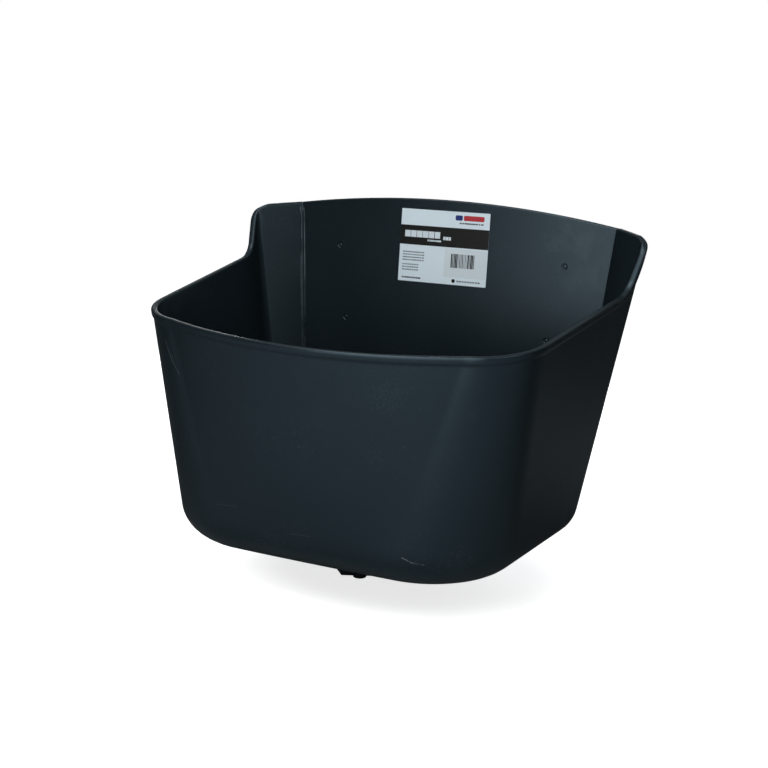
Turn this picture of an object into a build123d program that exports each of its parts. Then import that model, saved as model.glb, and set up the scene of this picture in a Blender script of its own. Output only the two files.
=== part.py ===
from build123d import *
import os
from math import cos, hypot, pi, radians, sin, sqrt, tan

# Wall-hung feed trough with a drain fitting.
# The moulding is drawn with its floor level: x runs to the right, y towards the wall and z is the
# height above the outside of the floor. It is then tilted by the floor's slope, so that its back
# stands upright with the wall face at y = 0, and cut to its rim. Last, every piece is moved so that
# the origin is midway between the two upper screw holes, on the wall face.

# Walls and floor
wall = 4.5
floor_slope = 6.1
floor_edge_radius = 27.0
floor_edge_steps = 5

# Plan of the inside, given at two heights above a level floor and straight between them
plan_height_low = 0.0
plan_height_high = 200.0
back_half_width_low = 142.5
back_half_width_high = 160.5
facet_width_low = 13.8
facet_width_high = 30.0
facet_depth = 29.8
front_half_width_low = 153.6
front_half_width_high = 182.0
side_depth_high = 244.9
side_depth_taper = 9.4
front_bow_low = 2.7
front_bow_high = 36.4
front_corner_radius_low = 78.0
front_corner_radius_high = 57.0
rear_corner_radius_low = 33.0
rear_corner_radius_high = 15.5

# Rim
back_height = 297.0
shoulder_height = 277.4
shoulder_half_width = 204.0
step_foot_height = 227.8
step_foot_depth = 45.5
step_top_depth = 28.2
side_rim_slope = 13.4
step_foot_radius = 23.5
step_top_radius = 29.0
rim_bead_width = 2.0
rim_bead_height = 7.0

# Upright rib on each crease of the back panel
rib_radius = 2.1
rib_top_gap = 5.0

# Wall screw holes
screw_hole_radius = 3.25
upper_screw_height = 243.8
upper_screw_half_spacing = 120.4
lower_screw_height = 172.6
lower_screw_half_spacing = 108.4
screw_hole_bevel = 0.6

# Drain fitting, measured along its own axis, square to the floor
drain_depth = 140.0
outlet_outer_radius = 19.0
outlet_bore_radius = 14.0
outlet_length_below_floor = 18.5
outlet_hole_clearance = 0.6
flange_radius = 29.0
flange_thickness = 3.0
flange_bevel = 1.0
gasket_thickness = 2.0
gasket_radius = 28.0
nut_across_flats = 54.0
nut_height = 6.0
nut_bevel = 1.0
nut_clearance = 0.05

# Screw cap and its washer
cap_clearance = 0.35
cap_wall = 3.6
cap_skirt_length = 12.0
cap_end_thickness = 4.0
cap_bevel = 5.0
cap_bar_width = 7.0
cap_bar_height = 7.5
cap_bar_tip_length = 33.4
cap_bar_end_angle = 37.0
cap_bar_turn = 27.6
cap_boss_radius = 6.2
cap_boss_height = 2.0
cap_grip_count = 18
cap_grip_radius = 1.3
cap_grip_offset = 0.5
cap_seal_thickness = 3.0
cap_seal_clearance = 0.4
seal_gap = 0.05

# Sticker
label_width = 94.6
label_height = 70.7
label_thickness = 0.2
label_corner_radius = 0.8
label_offset = -6.1
label_centre_drop = 46.0
label_turn = 0.8

# How far cutting blocks stand past what they cut
cut_margin = 60.0
cut_overlap = 1.0


floor_angle = radians(floor_slope)
plan_wall = wall / cos(floor_angle)


def at_height(low, high, height):
    """A plan size at a height above the level floor, straight between its two given values."""
    return low + (high - low) * (height - plan_height_low) / (plan_height_high - plan_height_low)


def crease_x(height):
    """Half width of the flat back panel at a height above the level floor."""
    return at_height(back_half_width_low, back_half_width_high, height)


def back_y(height):
    """Place of the back panel's inside at a height above the level floor."""
    return height * tan(floor_angle) - plan_wall


def level_height(height):
    """Height over the level floor of a point on the back panel's inside, from its upright height."""
    return (height + wall * tan(floor_angle)) * cos(floor_angle)


def plan_face(height, growth):
    """Outline seen from above at a height, moved outwards from the inside surface by a distance."""
    crease = crease_x(height)
    rear = crease + at_height(facet_width_low, facet_width_high, height)
    front = at_height(front_half_width_low, front_half_width_high, height)
    depth = at_height(side_depth_high - side_depth_taper, side_depth_high, height)
    bow = at_height(front_bow_low, front_bow_high, height)
    front_radius = at_height(front_corner_radius_low, front_corner_radius_high, height)
    rear_radius = at_height(rear_corner_radius_low, rear_corner_radius_high, height)
    walls = Polyline(
        (-front, -depth), (-rear, -facet_depth), (-crease, 0),
        (crease, 0), (rear, -facet_depth), (front, -depth),
    )
    front_wall = ThreePointArc((front, -depth), (0, -depth - bow), (-front, -depth))
    outline = make_face(walls + front_wall)
    if growth:
        outline = offset(outline, growth, kind=Kind.INTERSECTION)
    outline = fillet(outline.vertices().sort_by(Axis.Y)[:2], front_radius + growth)
    outline = fillet(outline.vertices().sort_by(Axis.Y)[-4:-2], rear_radius + growth)
    return Pos(0, back_y(height), height) * outline


def wall_form(growth, floor_height, edge_radius, top_height):
    """Solid inside the walls' outline, from a level floor with a rounded edge up to a height."""
    sections = []
    for step in range(floor_edge_steps + 1):
        angle = pi / 2 * step / floor_edge_steps
        height = floor_height + edge_radius * (1 - cos(angle))
        sections.append(plan_face(height, growth - edge_radius * (1 - sin(angle))))
    rounding = loft(sections)
    walls = loft([sections[-1], plan_face(top_height, growth)], ruled=True)
    return rounding + walls


def hang(piece):
    """Tilt a piece drawn over the level floor so that the trough's back is upright."""
    return Rot(floor_slope, 0, 0) * piece


def crossing(first, second):
    """Point where two lines meet, each given as a point and a direction in the y-z plane."""
    (ay, az), (ady, adz) = first
    (by, bz), (bdy, bdz) = second
    across = ady * bdz - adz * bdy
    along = ((by - ay) * bdz - (bz - az) * bdy) / across
    return (ay + ady * along, az + adz * along)


def lowered(line, drop):
    """A rim line moved into the material by a distance."""
    (y, z), (dy, dz) = line
    length = hypot(dy, dz)
    return ((y + dz / length * drop, z - dy / length * drop), (dy, dz))


arch_rise = back_height - shoulder_height
arch_radius = (shoulder_half_width**2 + arch_rise**2) / (2 * arch_rise)


def arch_height(x, drop):
    """Height of the arched back edge at a distance from the centre line."""
    return back_height - drop - arch_radius + sqrt(arch_radius**2 - x**2)


def below_rim(drop):
    """Block that holds everything below the rim, or below a line lowered from it."""
    panel_y = -wall
    far_y = -(side_depth_high + front_bow_high + cut_margin)
    base = -2 * cut_margin
    top = back_height + cut_margin
    foot = (panel_y - step_foot_depth, step_foot_height)
    head = (panel_y - step_top_depth, shoulder_height)
    crease_top = arch_height(crease_x(shoulder_height), 0)
    slope = tan(radians(side_rim_slope))
    side_line = lowered((foot, (1, slope)), drop)
    step_line = lowered((foot, (head[0] - foot[0], head[1] - foot[1])), drop)
    facet_line = lowered((head, (panel_y - head[0], crease_top - head[1])), drop)
    front_point = crossing(side_line, ((far_y, 0), (0, 1)))
    foot_point = crossing(side_line, step_line)
    head_point = crossing(step_line, facet_line)
    crease_point = crossing(facet_line, ((panel_y, 0), (0, 1)))
    profile = make_face(Polyline(
        (far_y, base), front_point, foot_point, head_point, crease_point,
        (panel_y, top), (cut_margin, top), (cut_margin, base), close=True,
    ))
    rounded = profile.vertices()
    foot_vertex = rounded.sort_by_distance((foot_point[0], foot_point[1], 0))[0]
    profile = fillet(foot_vertex, step_foot_radius + drop)
    head_vertex = profile.vertices().sort_by_distance((head_point[0], head_point[1], 0))[0]
    profile = fillet(head_vertex, step_top_radius - drop)
    reach = shoulder_half_width + cut_margin
    side_block = Plane.YZ.location * profile
    side_block = extrude(Pos(-reach, 0, 0) * side_block, 2 * reach, dir=(1, 0, 0))
    arch_end = arch_height(reach, drop)
    arch_outline = make_face(
        ThreePointArc((-reach, arch_end), (0, arch_height(0, drop)), (reach, arch_end))
        + Polyline((reach, arch_end), (reach, base), (-reach, base), (-reach, arch_end))
    )
    arch_block = Plane.XZ.location * arch_outline
    arch_block = extrude(Pos(0, cut_margin, 0) * arch_block, cut_margin - far_y, dir=(0, -1, 0))
    return side_block & arch_block


def behind_wall_face():
    """Block behind the wall face, where nothing of the trough may stand."""
    reach = shoulder_half_width + cut_margin
    height = back_height + cut_margin
    return Pos(0, cut_margin / 2, height / 2) * Box(2 * reach, cut_margin, height)


def crease_rib(side):
    """Half-round rib up one crease of the back panel, over the level floor."""
    rib_top = level_height(arch_height(crease_x(shoulder_height), 0) - rib_top_gap)
    rib_foot = floor_edge_radius
    start = Vector(side * crease_x(rib_foot), back_y(rib_foot), rib_foot)
    end = Vector(side * crease_x(rib_top), back_y(rib_top), rib_top)
    line = Plane(origin=start, z_dir=end - start)
    return Solid.make_cylinder(rib_radius, (end - start).length, line)


def screw_hole(x, height):
    """Hole through the back wall with a small bevel on the inside."""
    depth = wall + 2 * screw_hole_bevel
    hole_plane = Plane(origin=(x, screw_hole_bevel, height), z_dir=(0, -1, 0))
    hole = Solid.make_cylinder(screw_hole_radius, depth + wall, hole_plane)
    bevel_plane = Plane(origin=(x, screw_hole_bevel - wall, height), z_dir=(0, -1, 0))
    bevel = Solid.make_cone(
        screw_hole_radius, screw_hole_radius + 2 * screw_hole_bevel, 2 * screw_hole_bevel, bevel_plane,
    )
    return hole + bevel


drain_y = (-wall - drain_depth) / cos(floor_angle)
outlet_hole_radius = outlet_outer_radius + outlet_hole_clearance
cap_inner_radius = outlet_outer_radius + cap_clearance
cap_outer_radius = cap_inner_radius + cap_wall


def on_drain(start, end, radius):
    """Cylinder on the drain's axis between two distances below the outer floor."""
    return Pos(0, 0, (start + end) / 2) * Cylinder(radius, end - start)


def place_on_drain(piece):
    """Move a piece from the drain's own axis, which points down, to its place through the floor."""
    return hang(Pos(0, drain_y, 0) * Rot(180, 0, 0) * piece)


def make_trough_shell():
    """The one-piece moulding: walls, floor, rim bead, ribs and holes."""
    top = back_height + cut_margin / 2
    outer = hang(wall_form(plan_wall, 0, floor_edge_radius, top))
    inner = hang(wall_form(0, wall, floor_edge_radius - wall, top))
    bead_form = hang(wall_form(plan_wall + rim_bead_width, 0, floor_edge_radius, top))
    bead = bead_form - below_rim(rim_bead_height) - behind_wall_face()
    shell = (outer + bead) & below_rim(0)
    shell = shell - inner
    for side in (-1, 1):
        shell = shell + (hang(crease_rib(side)) & outer)
        shell = shell - screw_hole(side * upper_screw_half_spacing, upper_screw_height)
        shell = shell - screw_hole(side * lower_screw_half_spacing, lower_screw_height)
    shell = shell - place_on_drain(on_drain(-2 * wall, wall, outlet_hole_radius))
    return shell


def make_outlet_body():
    """Drain outlet: a flange inside the trough and a threaded tube down through the floor."""
    flange_face = -wall - gasket_thickness
    flange = on_drain(flange_face - flange_thickness, flange_face, flange_radius)
    upper_edge = flange.edges().sort_by(Axis.Z)[0]
    flange = chamfer(upper_edge, flange_bevel)
    tube = on_drain(flange_face, outlet_length_below_floor, outlet_outer_radius)
    bore_start = flange_face - flange_thickness - cut_overlap
    bore = on_drain(bore_start, outlet_length_below_floor + cut_overlap, outlet_bore_radius)
    return place_on_drain(flange + tube - bore)


def make_outlet_gasket():
    """Flat rubber ring between the flange and the floor."""
    ring = on_drain(-wall - gasket_thickness, -wall, gasket_radius)
    ring = ring - on_drain(-wall - gasket_thickness - cut_overlap, cut_overlap, outlet_hole_radius)
    return place_on_drain(ring)


def make_outlet_nut():
    """Six-sided back nut that clamps the outlet under the floor."""
    nut = extrude(RegularPolygon(nut_across_flats / 2, 6, major_radius=False), nut_height)
    nut = chamfer(nut.faces().sort_by(Axis.Z)[-1].edges(), nut_bevel)
    nut = nut - on_drain(-cut_overlap, nut_height + cut_overlap, outlet_outer_radius + nut_clearance)
    return place_on_drain(nut)


cap_seal_start = outlet_length_below_floor + seal_gap
cap_end_start = cap_seal_start + cap_seal_thickness + seal_gap
cap_skirt_start = outlet_length_below_floor - cap_skirt_length
cap_bottom = cap_end_start + cap_end_thickness


def cap_bar():
    """Straight finger bar across the cap's end, with slanted ends."""
    root = cap_bottom - cap_bevel
    tip = cap_bottom + cap_bar_height
    tip_reach = cap_bar_tip_length / 2
    root_reach = tip_reach + (tip - root) * tan(radians(cap_bar_end_angle))
    side_view = make_face(Polyline(
        (-root_reach, root), (-tip_reach, tip), (tip_reach, tip), (root_reach, root), close=True,
    ))
    bar = extrude(Plane.XZ.location * side_view, cap_bar_width / 2, both=True)
    bar = bar & on_drain(root, tip, cap_outer_radius)
    return Rot(0, 0, -cap_bar_turn) * bar


def make_drain_cap():
    """Screw cap: grooved skirt, bevelled end, finger bar and a small boss at its centre."""
    cap = on_drain(cap_skirt_start, cap_bottom, cap_outer_radius)
    cap = chamfer(cap.edges().sort_by(Axis.Z)[-1], cap_bevel)
    boss = on_drain(cap_bottom, cap_bottom + cap_bar_height + cap_boss_height, cap_boss_radius)
    cap = cap + cap_bar() + boss
    cap = cap - on_drain(cap_skirt_start - cut_overlap, cap_end_start, cap_inner_radius)
    groove = on_drain(cap_skirt_start - cut_overlap, cap_bottom - cap_bevel, cap_grip_radius)
    groove = Pos(cap_outer_radius + cap_grip_offset, 0, 0) * groove
    for index in range(cap_grip_count):
        cap = cap - Rot(0, 0, 360 / cap_grip_count * index) * groove
    return place_on_drain(cap)


def make_cap_seal():
    """Flat washer pressed between the cap and the outlet's end."""
    washer_end = cap_seal_start + cap_seal_thickness
    washer = on_drain(cap_seal_start, washer_end, cap_inner_radius - cap_seal_clearance)
    washer = washer - on_drain(cap_seal_start - cut_overlap, washer_end + cut_overlap, outlet_bore_radius)
    return place_on_drain(washer)


def make_plain_label():
    """Thin rectangular sticker on the inside of the back panel."""
    sheet = RectangleRounded(label_width, label_height, label_corner_radius)
    sheet = extrude(Rot(0, 0, label_turn) * sheet, label_thickness)
    centre = (label_offset, -wall, back_height - label_centre_drop)
    face_plane = Plane(origin=centre, x_dir=(1, 0, 0), z_dir=(0, -1, 0))
    return face_plane.location * sheet


pieces = {
    "trough_shell": make_trough_shell(),
    "outlet_body": make_outlet_body(),
    "outlet_gasket": make_outlet_gasket(),
    "outlet_nut": make_outlet_nut(),
    "drain_cap": make_drain_cap(),
    "cap_seal": make_cap_seal(),
    "plain_label": make_plain_label(),
}

os.makedirs("parts", exist_ok=True)
for name, piece in pieces.items():
    export_step(Pos(0, 0, -upper_screw_height) * piece, f"parts/{name}.step")
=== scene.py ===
"""Looks of a wall-hung feed trough with a screw-capped drain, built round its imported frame.

Sizes are in millimetres, as on a drawing, and become metres when a mesh is made.
"""

import logging
import math
from dataclasses import dataclass, field
from enum import Enum

import bmesh
import bpy
import numpy as np
from mathutils import Matrix, Vector


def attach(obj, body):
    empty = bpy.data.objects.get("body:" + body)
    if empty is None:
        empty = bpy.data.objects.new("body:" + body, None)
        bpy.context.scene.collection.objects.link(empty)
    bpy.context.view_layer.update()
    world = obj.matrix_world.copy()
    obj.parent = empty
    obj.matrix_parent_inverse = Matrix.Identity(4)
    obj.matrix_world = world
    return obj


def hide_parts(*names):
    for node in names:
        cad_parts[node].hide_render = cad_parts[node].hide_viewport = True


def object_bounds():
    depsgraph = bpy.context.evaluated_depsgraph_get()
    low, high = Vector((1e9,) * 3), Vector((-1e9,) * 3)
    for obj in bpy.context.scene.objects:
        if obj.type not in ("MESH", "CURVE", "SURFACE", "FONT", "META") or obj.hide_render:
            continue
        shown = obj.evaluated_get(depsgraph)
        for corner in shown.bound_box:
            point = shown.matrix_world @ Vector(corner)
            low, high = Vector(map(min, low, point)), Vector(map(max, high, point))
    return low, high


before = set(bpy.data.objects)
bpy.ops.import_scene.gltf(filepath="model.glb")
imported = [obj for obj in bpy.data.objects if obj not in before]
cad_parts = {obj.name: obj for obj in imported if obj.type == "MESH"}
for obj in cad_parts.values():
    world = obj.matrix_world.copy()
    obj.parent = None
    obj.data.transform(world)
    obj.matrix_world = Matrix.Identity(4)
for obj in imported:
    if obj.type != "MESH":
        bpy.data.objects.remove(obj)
cad_low, cad_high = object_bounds()

MM = 0.001
Piece = bpy.types.Object
Material = bpy.types.Material
Socket = bpy.types.NodeSocket
Tree = bpy.types.NodeTree
Array = np.ndarray
Colour = tuple[float, float, float]
Steps = tuple[tuple[float, float], ...]
log = logging.getLogger("feed_trough")


class Body(Enum):
    """The frame's bodies that the scene's pieces ride on."""

    TROUGH = "trough"
    CAP = "cap"


class Slot(Enum):
    """The record's material slots."""

    TROUGH = "trough_plastic"
    FITTING = "fitting_plastic"
    LABEL = "label_film"


def mesh_object(name: str, vertices: Array, faces: list, smooth: bool = True) -> Piece:
    """Make an object at the origin from points in millimetres.

    Args:
        name: the piece's name.
        vertices: its points, one row each, in the row frame.
        faces: tuples of point numbers.
        smooth: whether its faces are shaded smooth.

    Returns:
        The new object, linked to the scene.
    """
    mesh = bpy.data.meshes.new(name)
    mesh.from_pydata((np.asarray(vertices, float) * MM).tolist(), [], faces)
    mesh.validate()
    mesh.polygons.foreach_set("use_smooth", [smooth] * len(mesh.polygons))
    mesh.update()
    made = bpy.data.objects.new(name, mesh)
    bpy.context.scene.collection.objects.link(made)
    return made


def settle(piece: Piece) -> None:
    """Replace a piece's mesh by its evaluated one and take its modifiers off.

    Args:
        piece: an object with modifiers.
    """
    evaluated = piece.evaluated_get(bpy.context.evaluated_depsgraph_get())
    mesh = bpy.data.meshes.new_from_object(evaluated)
    mesh.name = piece.name
    piece.modifiers.clear()
    piece.data = mesh


def finish_piece(piece: Piece, body: Body, material: Material) -> None:
    """Give a piece its material and the body it rides on, and report it.

    Args:
        piece: the finished object.
        body: the body that it moves with.
        material: its material.
    """
    piece.data.materials.clear()
    piece.data.materials.append(material)
    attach(piece, body.value)
    log.info("%s: %d faces, rides on %s", piece.name, len(piece.data.polygons), body.value)


def crisp_edges(piece: Piece, angle: float = 40.0) -> None:
    """Keep a smooth piece's edges sharp where its faces turn by more than an angle in degrees."""
    piece.data.set_sharp_from_angle(angle=math.radians(angle))


def smooth_step(share: Array) -> Array:
    """An even share from 0 to 1 as one that starts and ends gently."""
    return share * share * (3 - 2 * share)


def ring_faces(rows: int, count: int, closed: bool = False) -> list[tuple[int, ...]]:
    """Faces between rings of points that follow each other.

    Args:
        rows: how many rings there are.
        count: how many points each ring has.
        closed: whether the last ring joins the first.

    Returns:
        The faces, each of four point numbers.
    """
    faces = []
    for row in range(rows if closed else rows - 1):
        following = (row + 1) % rows
        for step in range(count):
            beside = (step + 1) % count
            faces.append((
                row * count + step, row * count + beside,
                following * count + beside, following * count + step,
            ))
    return faces


@dataclass
class MouldPlan:
    """Shape of the moulding: its plan over a level floor, its tilt and its rim line."""

    wall: float = 4.5
    floor_slope: float = 6.1
    floor_edge_radius: float = 27.0
    upper_height: float = 200.0
    wall_top: float = 327.0
    back_half_width: tuple[float, float] = (142.5, 160.5)
    facet_width: tuple[float, float] = (13.8, 30.0)
    facet_depth: float = 29.8
    front_half_width: tuple[float, float] = (153.6, 182.0)
    side_depth: tuple[float, float] = (235.5, 244.9)
    front_bow: tuple[float, float] = (2.7, 36.4)
    front_corner_radius: tuple[float, float] = (78.0, 57.0)
    rear_corner_radius: tuple[float, float] = (33.0, 15.5)
    crease_radius: float = 1.6
    least_radius: float = 0.5
    back_height: float = 297.0
    shoulder_height: float = 277.4
    shoulder_half_width: float = 204.0
    step_foot_height: float = 227.8
    step_foot_depth: float = 45.5
    step_top_depth: float = 28.2
    side_rim_slope: float = 13.4
    step_foot_radius: float = 23.5
    step_top_radius: float = 29.0
    origin_height: float = 243.8
    drain_depth: float = 140.0
    past_back: float = 0.1
    rim_passes: int = 40
    breaks: Array = field(init=False)

    def __post_init__(self) -> None:
        """Work out where each stretch of the plan starts, measured round the upper inside."""
        self.angle = math.radians(self.floor_slope)
        self.plan_wall = self.wall / math.cos(self.angle)
        parts = self._stretches(np.array([self.upper_height]), np.array([0.0]))
        lengths = [float(part["length"][0]) for part in parts]
        self.breaks = np.concatenate([[0.0], np.cumsum(lengths)])

    @property
    def half_way(self) -> float:
        """Distance round the plan from the back's centre to the front's centre."""
        return float(self.breaks[-1])

    @property
    def crease_at(self) -> float:
        """Distance round the plan from the back's centre to the middle of a crease."""
        return float(self.breaks[1] + self.breaks[2]) / 2

    @property
    def drain_centre(self) -> float:
        """Place of the drain's axis along the level floor, from the back's face."""
        return (-self.wall - self.drain_depth) / math.cos(self.angle)

    def wrapped(self, along: Array) -> Array:
        """Distances round the plan, brought back between minus and plus half way."""
        return (along + self.half_way) % (2 * self.half_way) - self.half_way

    def _between(self, pair: tuple[float, float], height: Array) -> Array:
        """A plan size at each height, straight between its values at the floor and higher up."""
        return pair[0] + (pair[1] - pair[0]) * height / self.upper_height

    def _stretches(self, height: Array, growth: Array) -> list[dict]:
        """Lines and arcs of the right half of the plan, from the back's centre to the front's.

        Args:
            height: heights above the level floor.
            growth: how far outside the inner surface each plan lies.

        Returns:
            One dict for each stretch: a line has start and end, an arc has centre, radius and turns.
        """
        crease = self._between(self.back_half_width, height)
        rear = crease + self._between(self.facet_width, height)
        front = self._between(self.front_half_width, height)
        depth = self._between(self.side_depth, height)
        bow = self._between(self.front_bow, height)
        front_radius = self._between(self.front_corner_radius, height)
        rear_radius = self._between(self.rear_corner_radius, height)
        zero = np.zeros_like(crease)

        def unit(x: Array, y: Array) -> Array:
            """Directions of length one, a row each."""
            size = np.hypot(x, y)
            return np.stack([x / size, y / size], 1)

        def outward(direction: Array) -> Array:
            """Each direction turned a quarter to the left, which points out of the plan."""
            return np.stack([-direction[:, 1], direction[:, 0]], 1)

        def dot(a: Array, b: Array) -> Array:
            """The dot product of each pair of rows."""
            return (a * b).sum(1)

        def corner(point: Array, first: Array, second: Array) -> Array:
            """A corner moved outwards with the two sides that meet in it."""
            return point + ((first + second).T * (growth / (1 + dot(first, second)))).T

        along_back = np.stack([zero + 1, zero], 1)
        along_facet = unit(rear - crease, zero - self.facet_depth)
        along_side = unit(front - rear, self.facet_depth - depth)
        out_back, out_facet, out_side = (outward(d) for d in (along_back, along_facet, along_side))
        crease_corner = corner(np.stack([crease, zero], 1), out_back, out_facet)
        rear_corner = corner(np.stack([rear, zero - self.facet_depth], 1), out_facet, out_side)
        crease_round = np.maximum(self.crease_radius + growth, self.least_radius)
        rear_round = np.maximum(rear_radius + growth, self.least_radius)
        front_round = front_radius + growth

        def reach(radius: Array, first: Array, second: Array) -> Array:
            """How far from its corner a rounding starts on either side."""
            return radius * np.tan(np.arccos(np.clip(dot(first, second), -1, 1)) / 2)

        crease_reach = reach(crease_round, along_back, along_facet)[:, None]
        rear_reach = reach(rear_round, along_facet, along_side)[:, None]
        bow_radius = (front**2 + bow**2) / (2 * bow)
        bow_centre = np.stack([zero, bow_radius - depth - bow], 1)
        rear_point = np.stack([rear, zero - self.facet_depth], 1)
        from_bow = rear_point - out_side * front_radius[:, None] - bow_centre
        toward = dot(from_bow, along_side)
        along = -toward + np.sqrt(toward**2 - dot(from_bow, from_bow) + (bow_radius - front_radius) ** 2)
        front_centre = from_bow + bow_centre + along_side * along[:, None]
        out_front = unit(*(front_centre - bow_centre).T)
        starts = [
            np.stack([zero, growth + zero], 1),
            crease_corner + along_facet * crease_reach,
            rear_corner + along_side * rear_reach,
        ]
        ends = [
            crease_corner - along_back * crease_reach,
            rear_corner - along_facet * rear_reach,
            front_centre + out_side * front_round[:, None],
        ]

        def angle_of(direction: Array) -> Array:
            """Each direction's angle in the plan."""
            return np.arctan2(direction[:, 1], direction[:, 0])

        crease_centre = ends[0] - out_back * crease_round[:, None]
        rear_centre = ends[1] - out_facet * rear_round[:, None]
        lines = [
            {"start": start, "end": end, "length": np.hypot(*(end - start).T)}
            for start, end in zip(starts, ends)
        ]
        arcs = [
            {"centre": centre, "radius": radius, "turn": (first, last), "length": radius * (first - last)}
            for centre, radius, first, last in (
                (crease_centre, crease_round, angle_of(out_back), angle_of(out_facet)),
                (rear_centre, rear_round, angle_of(out_facet), angle_of(out_side)),
                (front_centre, front_round, angle_of(out_side), angle_of(out_front)),
                (bow_centre, bow_radius + growth, angle_of(out_front), zero - math.pi / 2),
            )
        ]
        return [lines[0], arcs[0], lines[1], arcs[1], lines[2], arcs[2], arcs[3]]

    def outline(self, along: Array, height: Array, growth: Array) -> Array:
        """Points of the plan over the level floor, as x and y from the inside of the back.

        Args:
            along: distance round the plan from the back's centre, positive to the right.
            height: height above the level floor.
            growth: distance outside the inner surface, level.

        Returns:
            One row of x and y for each point.
        """
        reach = np.clip(np.abs(along), 0, self.half_way)
        which = np.clip(np.searchsorted(self.breaks, reach, side="right") - 1, 0, len(self.breaks) - 2)
        share = (reach - self.breaks[which]) / (self.breaks[which + 1] - self.breaks[which])
        flat = np.zeros((len(reach), 2))
        for number, part in enumerate(self._stretches(height, growth)):
            on = which == number
            if "start" in part:
                spot = part["start"] + (part["end"] - part["start"]) * share[:, None]
            else:
                first, last = part["turn"]
                angle = first + (last - first) * share
                way = np.stack([np.cos(angle), np.sin(angle)], 1)
                spot = part["centre"] + part["radius"][:, None] * way
            flat[on] = spot[on]
        flat[:, 0] *= np.where(along < 0, -1.0, 1.0)
        return flat

    def place(self, along: Array, height: Array, growth: Array) -> Array:
        """Points of the moulding in the row frame.

        The walls are straight from the top of the floor's rounding upwards.

        Args:
            along: distance round the plan from the back's centre, positive to the right.
            height: height above the level floor.
            growth: distance outside the inner surface, level.

        Returns:
            One row of x, y and z for each point, in millimetres.
        """
        along, height, growth = (np.array(a, float) for a in np.broadcast_arrays(along, height, growth))
        foot = np.full(len(along), self.floor_edge_radius)
        flat_foot = self.outline(along, np.minimum(height, foot), growth)
        flat_top = self.outline(along, np.full(len(along), self.wall_top), growth)
        share = np.maximum(height - foot, 0) / (self.wall_top - foot)
        flat = flat_foot + (flat_top - flat_foot) * share[:, None]
        flat[:, 1] += height * math.tan(self.angle) - self.plan_wall
        return self.hang(np.column_stack([flat, height]))

    def hang(self, level: Array) -> Array:
        """Turn points drawn over the level floor into the row frame.

        Args:
            level: rows of x, y and height over the level floor.

        Returns:
            One row of x, y and z for each point, in millimetres.
        """
        x, y, z = np.asarray(level, float).T
        tilted_y = y * math.cos(self.angle) - z * math.sin(self.angle)
        tilted_z = y * math.sin(self.angle) + z * math.cos(self.angle)
        return np.column_stack([x, tilted_y, tilted_z - self.origin_height])

    def on_drain(self, local: Array) -> Array:
        """Points drawn on the drain's axis, with depth below the floor as z, in the row frame."""
        x, y, depth = np.asarray(local, float).T
        return self.hang(np.column_stack([x, self.drain_centre - y, -depth]))

    def rim_profile(self) -> Array:
        """Side view of the rim line.

        Returns:
            Rows of y and height over the floor's back edge, from front to back.
        """
        panel = -self.wall
        slope = math.tan(math.radians(self.side_rim_slope))
        foot = np.array([panel - self.step_foot_depth, self.step_foot_height])
        head = np.array([panel - self.step_top_depth, self.shoulder_height])
        far = foot + np.array([-1.0, -slope]) * (self.side_depth[1] + self.front_bow[1])
        crease = np.array([panel, self.arch(self.back_half_width[1])])
        return np.vstack([
            far,
            rounded_corner(far, foot, head, self.step_foot_radius),
            rounded_corner(foot, head, crease, self.step_top_radius),
            crease,
            crease + np.array([self.past_back, self.back_height]),
        ])

    def arch(self, x: float | Array) -> float | Array:
        """Height of the arched back edge.

        Args:
            x: distance from the centre line.

        Returns:
            The height over the floor's back edge.
        """
        rise = self.back_height - self.shoulder_height
        radius = (self.shoulder_half_width**2 + rise**2) / (2 * rise)
        return self.back_height - radius + np.sqrt(radius**2 - np.square(x))

    def rim_height(self, along: Array, growth: Array) -> Array:
        """Find where each upright line of the wall meets the rim, by halving.

        Args:
            along: distance round the plan from the back's centre, positive to the right.
            growth: distance outside the inner surface, level.

        Returns:
            The heights above the level floor.
        """
        profile = self.rim_profile()
        low = np.full(len(along), self.floor_edge_radius)
        high = np.full(len(along), self.back_height + self.floor_edge_radius * 2)
        for _ in range(self.rim_passes):
            middle = (low + high) / 2
            spot = self.place(along, middle, growth)
            rim = np.minimum(np.interp(spot[:, 1], profile[:, 0], profile[:, 1]), self.arch(spot[:, 0]))
            under = spot[:, 2] + self.origin_height < rim
            low = np.where(under, middle, low)
            high = np.where(under, high, middle)
        return (low + high) / 2


def rounded_corner(before: Array, corner: Array, after: Array, radius: float,
                   steps: int = 24) -> Array:
    """Points on the arc that rounds a corner between two straight lines.

    Args:
        before: a point on the first line.
        corner: where the lines meet.
        after: a point on the second line.
        radius: the arc's radius.
        steps: how many points the arc gets.

    Returns:
        The arc's points, one row each.
    """
    first = (before - corner) / np.linalg.norm(before - corner)
    second = (after - corner) / np.linalg.norm(after - corner)
    half = math.acos(float(np.clip(first @ second, -1, 1))) / 2
    centre = corner + (first + second) / np.linalg.norm(first + second) * radius / math.sin(half)
    start = corner + first * radius / math.tan(half) - centre
    end = corner + second * radius / math.tan(half) - centre
    turn = math.atan2(start[0] * end[1] - start[1] * end[0], float(start @ end))
    shares = np.linspace(0, turn, steps)
    return centre + np.column_stack([
        start[0] * np.cos(shares) - start[1] * np.sin(shares),
        start[0] * np.sin(shares) + start[1] * np.cos(shares),
    ])


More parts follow.
